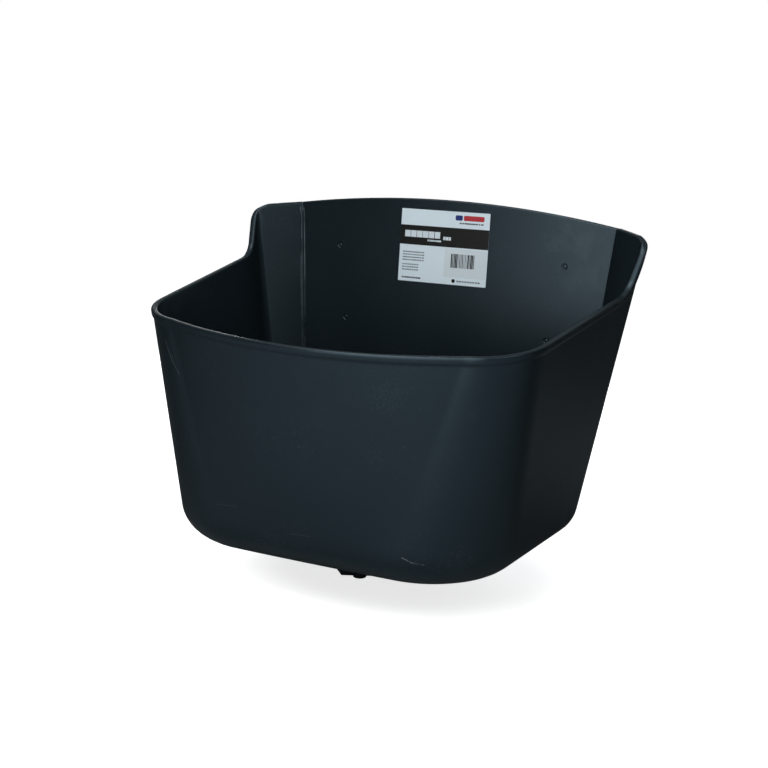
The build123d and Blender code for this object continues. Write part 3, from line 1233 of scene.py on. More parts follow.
@dataclass
class DrainCap:
    """Screw cap under the floor: bevelled end, finger bar, centre boss and grips round its skirt."""

    place: DrainPlace
    start: float = 6.5
    bottom: float = 25.6
    outer_radius: float = 22.95
    body_radius: float = 22.1
    inner_radius: float = 19.35
    inner_end: float = 21.6
    bevel: float = 5.0
    boss_radius: float = 6.2
    boss_height: float = 9.5
    bar_width: float = 7.0
    bar_height: float = 7.5
    bar_tip_length: float = 33.4
    bar_end_angle: float = 37.0
    bar_turn: float = 27.6
    bar_edge_round: float = 0.7
    grip_count: int = 18
    grip_width: float = 5.0
    room_below: float = 12.5
    dimple_steps: Steps = ((0.0, -0.35), (2.2, -0.35), (2.9, -0.05), (3.4, 0.0))
    boss_round: float = 0.9
    boss_edge_points: int = 6
    corner_bevel: float = 0.5
    slope_foot_steps: Steps = ((-1.2, 0.0), (-0.2, -0.2), (0.7, -0.75))
    slope_top_steps: Steps = ((-0.7, 0.7), (-0.15, -0.2), (0.0, -1.2))
    skirt_steps: Steps = ((0.0, 1.0), (-0.3, 0.3), (-1.0, 0.0))
    bar_sink: float = 0.4
    bar_inset: float = 0.5
    grip_room: tuple[float, float] = (0.8, 0.6)
    grip_sink: float = 0.15
    grip_grid: tuple[int, int] = (9, 11)
    grip_powers: tuple[int, int] = (4, 8)
    steps: int = 108

    def body_profile(self) -> list[tuple[float, float]]:
        """Half section of the cap, from the centre of the outside round to the inside.

        Returns:
            Pairs of radius and depth below the floor.
        """
        outer, end, bevel = self.body_radius, self.bottom, self.corner_bevel
        boss = end + self.boss_height
        centre, middle = self.boss_radius - self.boss_round, boss - self.boss_round
        edge = [
            (centre + self.boss_round * math.cos(turn), middle + self.boss_round * math.sin(turn))
            for turn in np.linspace(math.pi / 2, 0, self.boss_edge_points)
        ]
        return [
            *stepped(0.0, boss, self.dimple_steps),
            *edge,
            (self.boss_radius, end + bevel), (self.boss_radius + bevel, end),
            *stepped(outer - self.bevel, end, self.slope_foot_steps),
            *stepped(outer, end - self.bevel, self.slope_top_steps),
            *stepped(outer, self.start, self.skirt_steps),
            (self.inner_radius + bevel, self.start), (self.inner_radius, self.start + bevel),
            (self.inner_radius, self.inner_end), (0.0, self.inner_end),
        ]

    def build(self, material: Material) -> None:
        """Make the cap's turned body, which stands for the cap's node.

        Args:
            material: its material.
        """
        points, faces = revolved(self.body_profile(), self.steps)
        body = mesh_object("drain_cap_body", np.array(points), faces)
        merge_poles(body)
        body.data.transform(self.place.matrix())
        face_outwards(body)
        crisp_edges(body)
        finish_piece(body, Body.CAP, material)
        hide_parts("drain_cap")

    def build_bar(self, material: Material) -> None:
        """Make the finger bar, which runs through the boss and ends in two slants.

        Args:
            material: its material.
        """
        tip = self.bottom + self.bar_height
        root = self.bottom - self.bevel + self.bar_sink
        tip_reach = self.bar_tip_length / 2
        root_reach = self.outer_radius - self.bar_sink
        inner_reach = self.body_radius - self.bar_inset
        heel = tip - (root_reach - tip_reach) / math.tan(math.radians(self.bar_end_angle))
        outline = [
            (-inner_reach, root), (-root_reach, heel), (-tip_reach, tip),
            (tip_reach, tip), (root_reach, heel), (inner_reach, root),
        ]
        count = len(outline)
        points = [(x, side * self.bar_width / 2, depth) for side in (-1, 1) for x, depth in outline]
        faces = [tuple(range(count)), tuple(range(count, 2 * count))[::-1], *ring_faces(2, count)]
        bar = mesh_object("cap_bar", np.array(points), faces)
        face_outwards(bar)
        rounding = bar.modifiers.new("rounded_edges", "BEVEL")
        rounding.width = self.bar_edge_round * MM
        rounding.segments = 4
        settle(bar)
        bar.data.transform(Matrix.Rotation(-math.radians(self.bar_turn), 4, "Z"))
        bar.data.transform(self.place.matrix())
        crisp_edges(bar)
        finish_piece(bar, Body.CAP, material)

    def grip_template(self) -> Piece:
        """One raised grip: a rounded pad along the skirt, on the drain's axis and facing x.

        Returns:
            The pad, which the ring of grips copies.
        """
        foot = self.body_radius - self.grip_sink
        rise = self.outer_radius - self.body_radius + self.grip_sink
        low, high = self.start + self.grip_room[0], self.bottom - self.bevel - self.grip_room[1]
        count, rows = self.grip_grid
        side_power, end_power = self.grip_powers
        points, faces = [], []
        for share in np.linspace(0, 1, rows):
            ends = (1 - abs(2 * share - 1) ** end_power) ** 0.5
            for side in np.linspace(-1, 1, count):
                bulge = (1 - abs(side) ** side_power) ** 0.5 * ends
                points.append((foot + rise * bulge, side * self.grip_width / 2, low + (high - low) * share))
        for row in range(rows - 1):
            for column in range(count - 1):
                first = row * count + column
                faces.append((first, first + 1, first + count + 1, first + count))
        rim = list(range(count))
        rim += [row * count + count - 1 for row in range(1, rows)]
        rim += [(rows - 1) * count + column for column in range(count - 2, -1, -1)]
        rim += [row * count for row in range(rows - 2, 0, -1)]
        faces.append(tuple(rim))
        return mesh_object("grip_template", np.array(points), faces)

    def build_grips(self, material: Material) -> None:
        """Make the ring of grips round the skirt.

        Args:
            material: their material.
        """
        template = self.grip_template()
        face_outwards(template)
        grips = grown("cap_grips", ring_tree(material), {"Piece": template, "Count": self.grip_count})
        bpy.data.objects.remove(template)
        grips.data.transform(self.place.matrix())
        finish_piece(grips, Body.CAP, material)


@dataclass
class ScrewKnockouts:
    """Thin stepped discs that close the drill marks in the back until it is screwed to a wall."""

    shell: MouldedShell
    disc_radius: float = 1.55
    groove_radius: float = 2.75
    groove_depth: float = 0.5
    web_thickness: float = 0.9
    edge_round: float = 0.25
    edge_middle: float = 0.3
    foot_steps: Steps = ((0.12, 0.2), (0.32, 0.0))
    groove_inset: float = 0.3
    side_clearance: float = 0.02

    def template(self) -> Piece:
        """One knock-out at the origin: its raised disc faces along z.

        Returns:
            The disc, which is copied into each screw hole.
        """
        rim = self.shell.screw_radius - self.side_clearance
        disc, rounding = self.disc_radius, self.edge_round
        low, back = -self.groove_depth, -self.groove_depth - self.web_thickness
        part_round = rounding * self.edge_middle
        profile = [
            (0.0, 0.0), (disc - rounding, 0.0), (disc - part_round, -part_round), (disc, -rounding),
            *stepped(disc, low, self.foot_steps),
            (self.groove_radius - self.groove_inset, low), (self.groove_radius, -rounding),
            (self.groove_radius + rounding, 0.0), (rim, 0.0), (rim, back), (0.0, back),
        ]
        points, faces = revolved(profile, self.shell.hole_steps)
        made = mesh_object("knockout_template", np.array(points), faces)
        merge_poles(made)
        face_outwards(made)
        crisp_edges(made)
        return made

    def build(self, material: Material) -> None:
        """Make one knock-out in each screw hole.

        Args:
            material: their material.
        """
        face = -self.shell.plan.wall
        template = self.template()
        template.data.transform(Matrix.Rotation(math.pi / 2, 4, "X"))
        marks = mesh_object("knockout_points", [(x, face, z) for x, z in self.shell.screw_places()], [])
        grow_on(marks, scatter_tree(material), {"Piece": template})
        bpy.data.objects.remove(template)
        marks.name = marks.data.name = "screw_hole_knockouts"
        finish_piece(marks, Body.TROUGH, material)


class Ink(Enum):
    """The sticker's printing inks, each as its colour and its darker shade."""

    BLACK = ((0.004, 0.004, 0.004), (0.003, 0.003, 0.003))
    WHITE = ((0.62, 0.70, 0.74), (0.55, 0.63, 0.68))
    GREY = ((0.16, 0.19, 0.21), (0.13, 0.16, 0.18))
    PALE = ((0.58, 0.66, 0.70), (0.54, 0.62, 0.66))
    BLUE = ((0.012, 0.030, 0.16), (0.010, 0.025, 0.13))
    RED = ((0.42, 0.030, 0.040), (0.36, 0.025, 0.032))

    @property
    def label(self) -> str:
        """The ink's name in a plain word."""
        return self.name.lower()


@dataclass(frozen=True)
class Plate:
    """A thin plate with rounded corners, placed from the sheet's left and top edges."""

    name: str
    left: float
    right: float
    top: float
    bottom: float
    radius: float
    rise: float = 0.03


@dataclass(frozen=True)
class DashRows:
    """Rows of plain dashes on the sticker, placed from its left and top edges."""

    name: str
    ink: Ink
    left: float
    top: float
    length: float
    thickness: float
    dashes: int
    fill: float
    seed: int
    rows: int = 1
    spacing: float = 2.6


@dataclass
class Sticker:
    """Printed sticker on the back panel: a pale sheet with plain bars, rules and stripes."""

    plan: MouldPlan
    width: float = 94.6
    height: float = 70.7
    thickness: float = 0.2
    corner_radius: float = 0.8
    offset: float = -6.1
    centre_drop: float = 46.0
    turn: float = 0.8
    ink: float = 0.03
    plate_sink: float = 0.05
    band: tuple[float, float] = (15.8, 34.8)
    band_inset: float = 0.02
    band_radius: float = 0.1
    corner_steps: int = 5
    soft_edge: tuple[float, float] = (0.25, 0.05)
    plates: tuple[tuple[Ink, Plate], ...] = (
        (Ink.PALE, Plate("sticker_patch", 49.2, 93.9, 36.2, 63.5, 0.4, rise=0.01)),
        (Ink.BLUE, Plate("sticker_blue_bar", 58.2, 65.8, 3.4, 8.4, 1.2)),
        (Ink.RED, Plate("sticker_red_bar", 67.0, 88.8, 3.4, 8.4, 1.2)),
        (Ink.BLACK, Plate("sticker_dot", 58.1, 61.9, 65.0, 68.8, 1.85)),
    )
    blocks: tuple[DashRows, ...] = (
        DashRows("sticker_heading", Ink.WHITE, 4.7, 20.9, 38.6, 6.4, 6, 0.90, 3),
        DashRows("sticker_heading_end", Ink.WHITE, 46.2, 25.0, 8.8, 3.2, 3, 0.75, 5),
        DashRows("sticker_subheading", Ink.WHITE, 29.2, 28.9, 15.2, 1.7, 7, 0.72, 8),
        DashRows("sticker_small_rule", Ink.BLACK, 62.6, 10.4, 25.6, 1.3, 9, 0.70, 11),
        DashRows("sticker_upper_lines", Ink.GREY, 3.6, 41.4, 23.6, 1.25, 9, 0.80, 14, rows=4),
        DashRows("sticker_lower_lines", Ink.GREY, 3.6, 53.6, 18.0, 1.25, 7, 0.80, 21, rows=3),
        DashRows("sticker_foot_line", Ink.BLACK, 3.7, 66.3, 20.8, 1.5, 8, 0.82, 27),
        DashRows("sticker_end_line", Ink.GREY, 63.4, 66.2, 25.0, 1.6, 9, 0.80, 31),
        DashRows("sticker_stripes", Ink.BLACK, 56.0, 40.8, 25.2, 13.4, 17, 0.56, 40),
    )

    def matrix(self) -> Matrix:
        """Move from the sheet's own plane, seen from the front, to the row frame.

        Returns:
            The matrix, in metres.
        """
        plan = self.plan
        height = plan.back_height - self.centre_drop - plan.origin_height
        centre = Vector((self.offset, -plan.wall, height)) * MM
        facing = Matrix(((1, 0, 0), (0, 0, -1), (0, 1, 0))).to_4x4()
        return Matrix.Translation(centre) @ facing @ Matrix.Rotation(math.radians(self.turn), 4, "Z")

    def plate(self, shape: Plate, low: float, high: float) -> Piece:
        """Make a thin plate with rounded corners and a softened upper edge.

        Args:
            shape: its name, edges and corners.
            low: height of its back over the panel.
            high: height of its face over the panel.

        Returns:
            The plate.
        """
        left, right, top, bottom, radius = shape.left, shape.right, shape.top, shape.bottom, shape.radius
        corners = [
            (right - radius, bottom - radius, -90), (right - radius, top + radius, 0),
            (left + radius, top + radius, 90), (left + radius, bottom - radius, 180),
        ]
        outline = []
        for u, v, first in corners:
            for step in range(self.corner_steps + 1):
                turn = math.radians(first + 90 * step / self.corner_steps)
                outline.append((u + radius * math.cos(turn) - self.width / 2,
                                self.height / 2 - v + radius * math.sin(turn)))
        share, most = self.soft_edge
        soft = min(share * (high - low), most)
        count = len(outline)
        middle = np.array([(left + right - self.width) / 2, (self.height - top - bottom) / 2])
        rings = []
        for level, inset in ((low, 0.0), (high - soft, 0.0), (high, soft)):
            for spot in outline:
                inward = middle - spot
                shifted = np.array(spot) + inward / np.linalg.norm(inward) * inset
                rings.append((shifted[0], shifted[1], level))
        faces = [tuple(range(count))[::-1], tuple(range(2 * count, 3 * count)), *ring_faces(3, count)]
        made = mesh_object(shape.name, np.array(rings), faces, smooth=False)
        made.data.transform(self.matrix())
        face_outwards(made)
        return made

    def print_rows(self, block: DashRows, tree: Tree, material: Material) -> None:
        """Grow rows of plain dashes or stripes on the sheet, or on the band where they are white.

        Args:
            block: the rows' sizes and place.
            tree: the geometry tree that makes them.
            material: their ink's material.
        """
        made = grown(block.name, tree, {
            "Line Length": block.length * MM, "Dash Height": block.thickness * MM, "Rows": block.rows,
            "Row Spacing": block.spacing * MM, "Dashes": block.dashes, "Fill": block.fill,
            "Ink Thickness": 2 * self.ink * MM, "Seed": block.seed,
        })
        under = self.thickness + (self.ink if block.ink is Ink.WHITE else 0)
        corner = Vector((block.left - self.width / 2, self.height / 2 - block.top, under)) * MM
        made.data.transform(self.matrix() @ Matrix.Translation(corner))
        finish_piece(made, Body.TROUGH, material)

    def build(self, film: Material, inks: dict[Ink, Material]) -> None:
        """Make the sheet and everything printed on it.

        Args:
            film: the sheet's material.
            inks: materials for the printing.
        """
        face, inset = self.thickness, self.band_inset
        whole = Plate("sticker_sheet", 0, self.width, 0, self.height, self.corner_radius)
        sheet = self.plate(whole, 0, face)
        finish_piece(sheet, Body.TROUGH, film)
        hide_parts("plain_label")
        band = Plate("sticker_band", inset, self.width - inset, *self.band, self.band_radius, self.ink)
        for ink, shape in ((Ink.BLACK, band), *self.plates):
            plate = self.plate(shape, face - self.plate_sink, face + shape.rise)
            finish_piece(plate, Body.TROUGH, inks[ink])
        trees = {ink: dash_tree(f"dashes_{ink.label}", material) for ink, material in inks.items()}
        for block in self.blocks:
            self.print_rows(block, trees[block.ink], inks[block.ink])


def shader_group(name: str, vectors: tuple[str, ...], numbers: dict[str, float]) -> TreeMaker:
    """Start a shader group with its named inputs.

    Args:
        name: the group's name.
        vectors: names of its vector inputs.
        numbers: its number inputs with their values.

    Returns:
        The maker that puts the group together.
    """
    maker = TreeMaker(name, "ShaderNodeTree")
    for vector in vectors:
        maker.add_input(vector, "NodeSocketVector")
    maker.add_floats(numbers)
    return maker


def scrape_group() -> Tree:
    """Shader group: mask of one thin scrape between two points.

    Returns:
        The group.
    """
    raggedness, least_width, edge_gain = 2.4, 1e-5, 2.0
    maker = shader_group("thin_scrape", ("Vector", "Start", "End"), {"Width": 0.001, "Roughness": 900.0})
    from_start = maker.vector("SUBTRACT", maker.given("Vector"), maker.given("Start"))
    whole = maker.vector("SUBTRACT", maker.given("End"), maker.given("Start"))
    run = maker.measure("DOT_PRODUCT", from_start, whole)
    share = maker.maths("DIVIDE", run, maker.measure("DOT_PRODUCT", whole, whole), clamp=True)
    foot = maker.node("ShaderNodeVectorMath", {0: whole, "Scale": share}, operation="SCALE").outputs[0]
    away = maker.measure("DISTANCE", from_start, foot)
    grain = maker.noise(maker.given("Vector"), maker.given("Roughness"), detail=3.0)
    uneven = maker.maths("MULTIPLY_ADD", grain, raggedness, -0.5)
    ragged = maker.maths("MAXIMUM", maker.maths("MULTIPLY", maker.given("Width"), uneven), least_width)
    near = maker.maths("SUBTRACT", 1.0, maker.maths("DIVIDE", away, ragged), clamp=True)
    maker.add_output("Mask", "NodeSocketFloat", maker.maths("MULTIPLY", near, edge_gain, clamp=True))
    return maker.tree


def speckle_group() -> Tree:
    """Shader group: mask of fine scattered specks, thicker in some patches than in others.

    Returns:
        The group.
    """
    patch_swing, contrast = 0.3, 9.0
    numbers = {"Speck Scale": 420.0, "Patch Scale": 14.0, "Threshold": 0.62}
    maker = shader_group("fine_specks", ("Vector",), numbers)
    fine = maker.noise(maker.given("Vector"), maker.given("Speck Scale"), detail=4.0, roughness=0.7)
    patch = maker.noise(maker.given("Vector"), maker.given("Patch Scale"), detail=2.0)
    over = maker.maths("SUBTRACT", fine, maker.given("Threshold"))
    raised = maker.maths("ADD", over, maker.maths("MULTIPLY_ADD", patch, patch_swing, -patch_swing / 2))
    maker.add_output("Mask", "NodeSocketFloat", maker.maths("MULTIPLY", raised, contrast, clamp=True))
    return maker.tree


def patch_group() -> Tree:
    """Shader group: mask of one mottled patch, dense at its centre and thinning out to its reach.

    Returns:
        The group.
    """
    full_until, clear_level = 0.1, 0.9
    numbers = {"Reach": 0.04, "Mottle Scale": 700.0, "Cover": 0.34, "Sharpness": 7.0}
    maker = shader_group("mottled_patch", ("Vector", "Centre"), numbers)
    away = maker.measure("DISTANCE", maker.given("Vector"), maker.given("Centre"))
    outside = maker.ease(maker.maths("DIVIDE", away, maker.given("Reach")), full_until, 1.0)
    inside = maker.maths("SUBTRACT", 1.0, outside)
    noise = maker.noise(maker.given("Vector"), maker.given("Mottle Scale"), detail=3.0, roughness=0.65)
    base = maker.maths("SUBTRACT", noise, clear_level)
    level = maker.maths("MULTIPLY_ADD", inside, maker.given("Cover"), base)
    mask = maker.maths("MULTIPLY", level, maker.given("Sharpness"), clamp=True)
    maker.add_output("Mask", "NodeSocketFloat", mask)
    return maker.tree


def grain_group() -> Tree:
    """Shader group: surface height of a moulded grain, and slow drifts of tone.

    Returns:
        The group.
    """
    maker = shader_group("moulded_grain", ("Vector",), {"Grain Scale": 700.0, "Drift Scale": 7.0})
    fine = maker.noise(maker.given("Vector"), maker.given("Grain Scale"), detail=3.0, roughness=0.6)
    drift = maker.noise(maker.given("Vector"), maker.given("Drift Scale"), detail=3.0, roughness=0.55)
    maker.add_output("Height", "NodeSocketFloat", fine)
    maker.add_output("Drift", "NodeSocketFloat", drift)
    return maker.tree


def edge_wear_group() -> Tree:
    """Shader group: mask of rubbed edges and of the painted highlight along the crease rib, broken up so
    that it doesn't run as an even line.

    Returns:
        The group.
    """
    contrast, bare_level = 3.0, -1.0
    maker = shader_group("rubbed_edge", ("Vector",), {"Edge": 0.0, "Break Scale": 60.0})
    noise = maker.noise(maker.given("Vector"), maker.given("Break Scale"), detail=5.0, roughness=0.65)
    broken = maker.maths("MULTIPLY_ADD", noise, contrast, bare_level, clamp=True)
    maker.add_output("Mask", "NodeSocketFloat", maker.maths("MULTIPLY", maker.given("Edge"), broken))
    return maker.tree


@dataclass
class Effects:
    """The shader groups that the materials share, each built once."""

    grain: Tree = field(default_factory=grain_group)
    specks: Tree = field(default_factory=speckle_group)
    wear: Tree = field(default_factory=edge_wear_group)
    scrape: Tree = field(default_factory=scrape_group)
    patch: Tree = field(default_factory=patch_group)


class MaterialMaker(NodeWork):
    """Puts one material together round a Principled shader."""

    def __init__(self, name: str) -> None:
        """Start a material with its shader and object coordinates.

        Args:
            name: the material's name.
        """
        self.material = bpy.data.materials.new(name)
        self.material.use_nodes = True
        super().__init__(self.material.node_tree)
        self.shader = next(node for node in self.tree.nodes if node.type == "BSDF_PRINCIPLED")
        self.place = self.tree.nodes.new("ShaderNodeTexCoord").outputs["Object"]

    def group(self, effect: Tree, values: dict) -> bpy.types.Node:
        """Place a shared effect that reads object coordinates."""
        return self.node("ShaderNodeGroup", {"Vector": self.place, **values}, node_tree=effect)

    def attribute(self, name: str) -> Socket:
        """Read a number stored on the mesh.

        Args:
            name: the attribute's name.

        Returns:
            Its socket.
        """
        made = self.tree.nodes.new("ShaderNodeAttribute")
        made.attribute_name = name
        return made.outputs["Fac"]

    def blend(self, share: Socket, under: object, over: object,
              strength: float = 1.0) -> Socket:
        """Lay one colour over another by a mask.

        Args:
            share: the mask.
            under: the colour, or a socket, below.
            over: the colour, or a socket, on top.
            strength: how much of the mask counts.

        Returns:
            The blended colour's socket.
        """
        mix = self.tree.nodes.new("ShaderNodeMix")
        mix.data_type = "RGBA"
        self.tree.links.new(self.maths("MULTIPLY_ADD", share, strength, 0.0), mix.inputs["Factor"])
        lower_colour, upper_colour = 6, 7
        for key, value in ((lower_colour, under), (upper_colour, over)):
            if isinstance(value, Socket):
                self.tree.links.new(value, mix.inputs[key])
            else:
                mix.inputs[key].default_value = (*value, 1.0)
        return mix.outputs[2]

    def spread(self, value: Socket, middle: float, width: float) -> Socket:
        """A socket's value from 0 to 1 as one of a given width about a middle."""
        return self.maths("MULTIPLY_ADD", value, width, middle - width / 2)

    def feed(self, name: str, source: object) -> None:
        """Set or link one input of the shader.

        Args:
            name: the input's name.
            source: a value or a socket.
        """
        if isinstance(source, Socket):
            self.tree.links.new(source, self.shader.inputs[name])
        else:
            self.shader.inputs[name].default_value = source

    def bump(self, height: Socket, depth: float, strength: float) -> None:
        """Feed the shader's normal from a height.

        Args:
            height: the height's socket, from 0 to 1.
            depth: how deep a height of 1 is, in metres.
            strength: how much of it shows.
        """
        made = self.tree.nodes.new("ShaderNodeBump")
        made.inputs["Strength"].default_value = strength
        made.inputs["Distance"].default_value = depth
        self.tree.links.new(height, made.inputs["Height"])
        self.tree.links.new(made.outputs["Normal"], self.shader.inputs["Normal"])


@dataclass(frozen=True)
class Scrape:
    """One pale scrape on the moulding, between two places in millimetres."""

    start: tuple[float, float, float]
    end: tuple[float, float, float]
    width: float
    strength: float


@dataclass(frozen=True)
class Patch:
    """One mottled, paler patch on the moulding: its centre and reach in millimetres, and how fine it is."""

    centre: tuple[float, float, float]
    reach: float
    strength: float
    mottle: float = 800.0
    cover: float = 0.34
    sharpness: float = 7.0


@dataclass(frozen=True)
class MouldedPlastic:
    """Dark moulded plastic with a fine grain, faint specks, rubbed edges, a painted highlight along the
    crease rib, pale patches with some painted sheen, and scrapes.
    """

    name: str
    colour: Colour = (0.0048, 0.0082, 0.0108)
    deep_colour: Colour = (0.0041, 0.0070, 0.0092)
    # laid on the rubbed rim and as painted highlight along the crease rib
    worn_colour: Colour = (0.060, 0.075, 0.082)
    # laid as the fine specks and as the pale patches, whose broad tone on the back panel's right is painted
    # sheen
    speck_colour: Colour = (0.040, 0.054, 0.062)
    scrape_colour: Colour = (0.26, 0.29, 0.30)
    roughness: float = 0.30
    specular: float = 0.50
    tint: Colour = (0.62, 0.86, 1.0)
    tone_contrast: float = 2.2
    roughness_drift: float = 0.16
    grain_depth: float = 0.00012
    grain_strength: float = 0.5
    grain_scale: float = 620.0
    speck_strength: float = 0.35
    wear_strength: float = 1.0
    scrapes: tuple[Scrape, ...] = ()
    patches: tuple[Patch, ...] = ()

    def make(self, effects: Effects) -> Material:
        """Make the material.

        Args:
            effects: the shader groups that it uses.

        Returns:
            The material.
        """
        maker = MaterialMaker(self.name)
        grain = maker.group(effects.grain, {"Grain Scale": self.grain_scale})
        specks = maker.group(effects.specks, {})
        wear = maker.group(effects.wear, {"Edge": maker.attribute("edge_wear")})
        tone = maker.spread(grain.outputs["Drift"], 0.5, self.tone_contrast)
        colour = maker.blend(tone, self.deep_colour, self.colour)
        colour = maker.blend(specks.outputs["Mask"], colour, self.speck_colour, self.speck_strength)
        # rubbed rim, and painted highlight along the crease rib's edges
        colour = maker.blend(wear.outputs["Mask"], colour, self.worn_colour, self.wear_strength)
        for patch in self.patches:
            spot = maker.group(effects.patch, {
                "Centre": Vector(patch.centre) * MM, "Reach": patch.reach * MM,
                "Mottle Scale": patch.mottle, "Cover": patch.cover, "Sharpness": patch.sharpness,
            })
            # pale patches: on the back panel's right their broad paler tone is painted sheen
            colour = maker.blend(spot.outputs["Mask"], colour, self.speck_colour, patch.strength)
        for scrape in self.scrapes:
            mark = maker.group(effects.scrape, {
                "Start": Vector(scrape.start) * MM, "End": Vector(scrape.end) * MM,
                "Width": scrape.width * MM,
            })
            colour = maker.blend(mark.outputs["Mask"], colour, self.scrape_colour, scrape.strength)
        maker.feed("Base Color", colour)
        maker.feed("Roughness", maker.spread(grain.outputs["Drift"], self.roughness, self.roughness_drift))
        maker.feed("Specular IOR Level", self.specular)
        maker.feed("Specular Tint", (*self.tint, 1.0))
        maker.bump(grain.outputs["Height"], self.grain_depth, self.grain_strength)
        return maker.material


@dataclass(frozen=True)
class SealRubber:
    """Matt black rubber of the washers."""

    name: str = "washer_rubber"
    colour: Colour = (0.010, 0.010, 0.011)
    dusty_colour: Colour = (0.035, 0.035, 0.036)
    roughness: float = 0.78
    roughness_drift: float = 0.2
    specular: float = 0.3
    dust: float = 0.4
    grain_depth: float = 0.0001
    grain_strength: float = 0.6

    def make(self, effects: Effects) -> Material:
        """Make the material.

        Args:
            effects: the shader groups that it uses.

        Returns:
            The material.
        """
        maker = MaterialMaker(self.name)
        grain = maker.group(effects.grain, {"Grain Scale": 1400.0, "Drift Scale": 60.0})
        specks = maker.group(effects.specks, {"Speck Scale": 1500.0, "Patch Scale": 90.0})
        colour = maker.blend(specks.outputs["Mask"], self.colour, self.dusty_colour, self.dust)
        maker.feed("Base Color", colour)
        maker.feed("Roughness", maker.spread(grain.outputs["Drift"], self.roughness, self.roughness_drift))
        maker.feed("Specular IOR Level", self.specular)
        maker.bump(grain.outputs["Height"], self.grain_depth, self.grain_strength)
        return maker.material


@dataclass(frozen=True)
class PrintedFilm:
    """Sticker film or printing ink: an even colour with faint fibres and a soft sheen."""

    name: str
    colour: Colour
    shade: Colour
    roughness: float = 0.42
    roughness_drift: float = 0.12
    tone_contrast: float = 1.6
    specular: float = 0.25
    grain_depth: float = 0.00004
    grain_strength: float = 0.3

    def make(self, effects: Effects) -> Material:
        """Make the material.

        Args:
            effects: the shader groups that it uses.

        Returns:
            The material.
        """
        maker = MaterialMaker(self.name)
        grain = maker.group(effects.grain, {"Grain Scale": 2600.0, "Drift Scale": 28.0})
        tone = maker.spread(grain.outputs["Drift"], 0.5, self.tone_contrast)
        maker.feed("Base Color", maker.blend(tone, self.shade, self.colour))
        maker.feed("Roughness", maker.spread(grain.outputs["Drift"], self.roughness, self.roughness_drift))
        maker.feed("Specular IOR Level", self.specular)
        maker.bump(grain.outputs["Height"], self.grain_depth, self.grain_strength)
        return maker.material


@dataclass(frozen=True)
class Lamp:
    """One soft lamp: its place, the point that it faces, its width and height, and its power in watts."""

    name: str
    place: tuple[float, float, float]
    aim: tuple[float, float, float]
    size: tuple[float, float]
    power: float


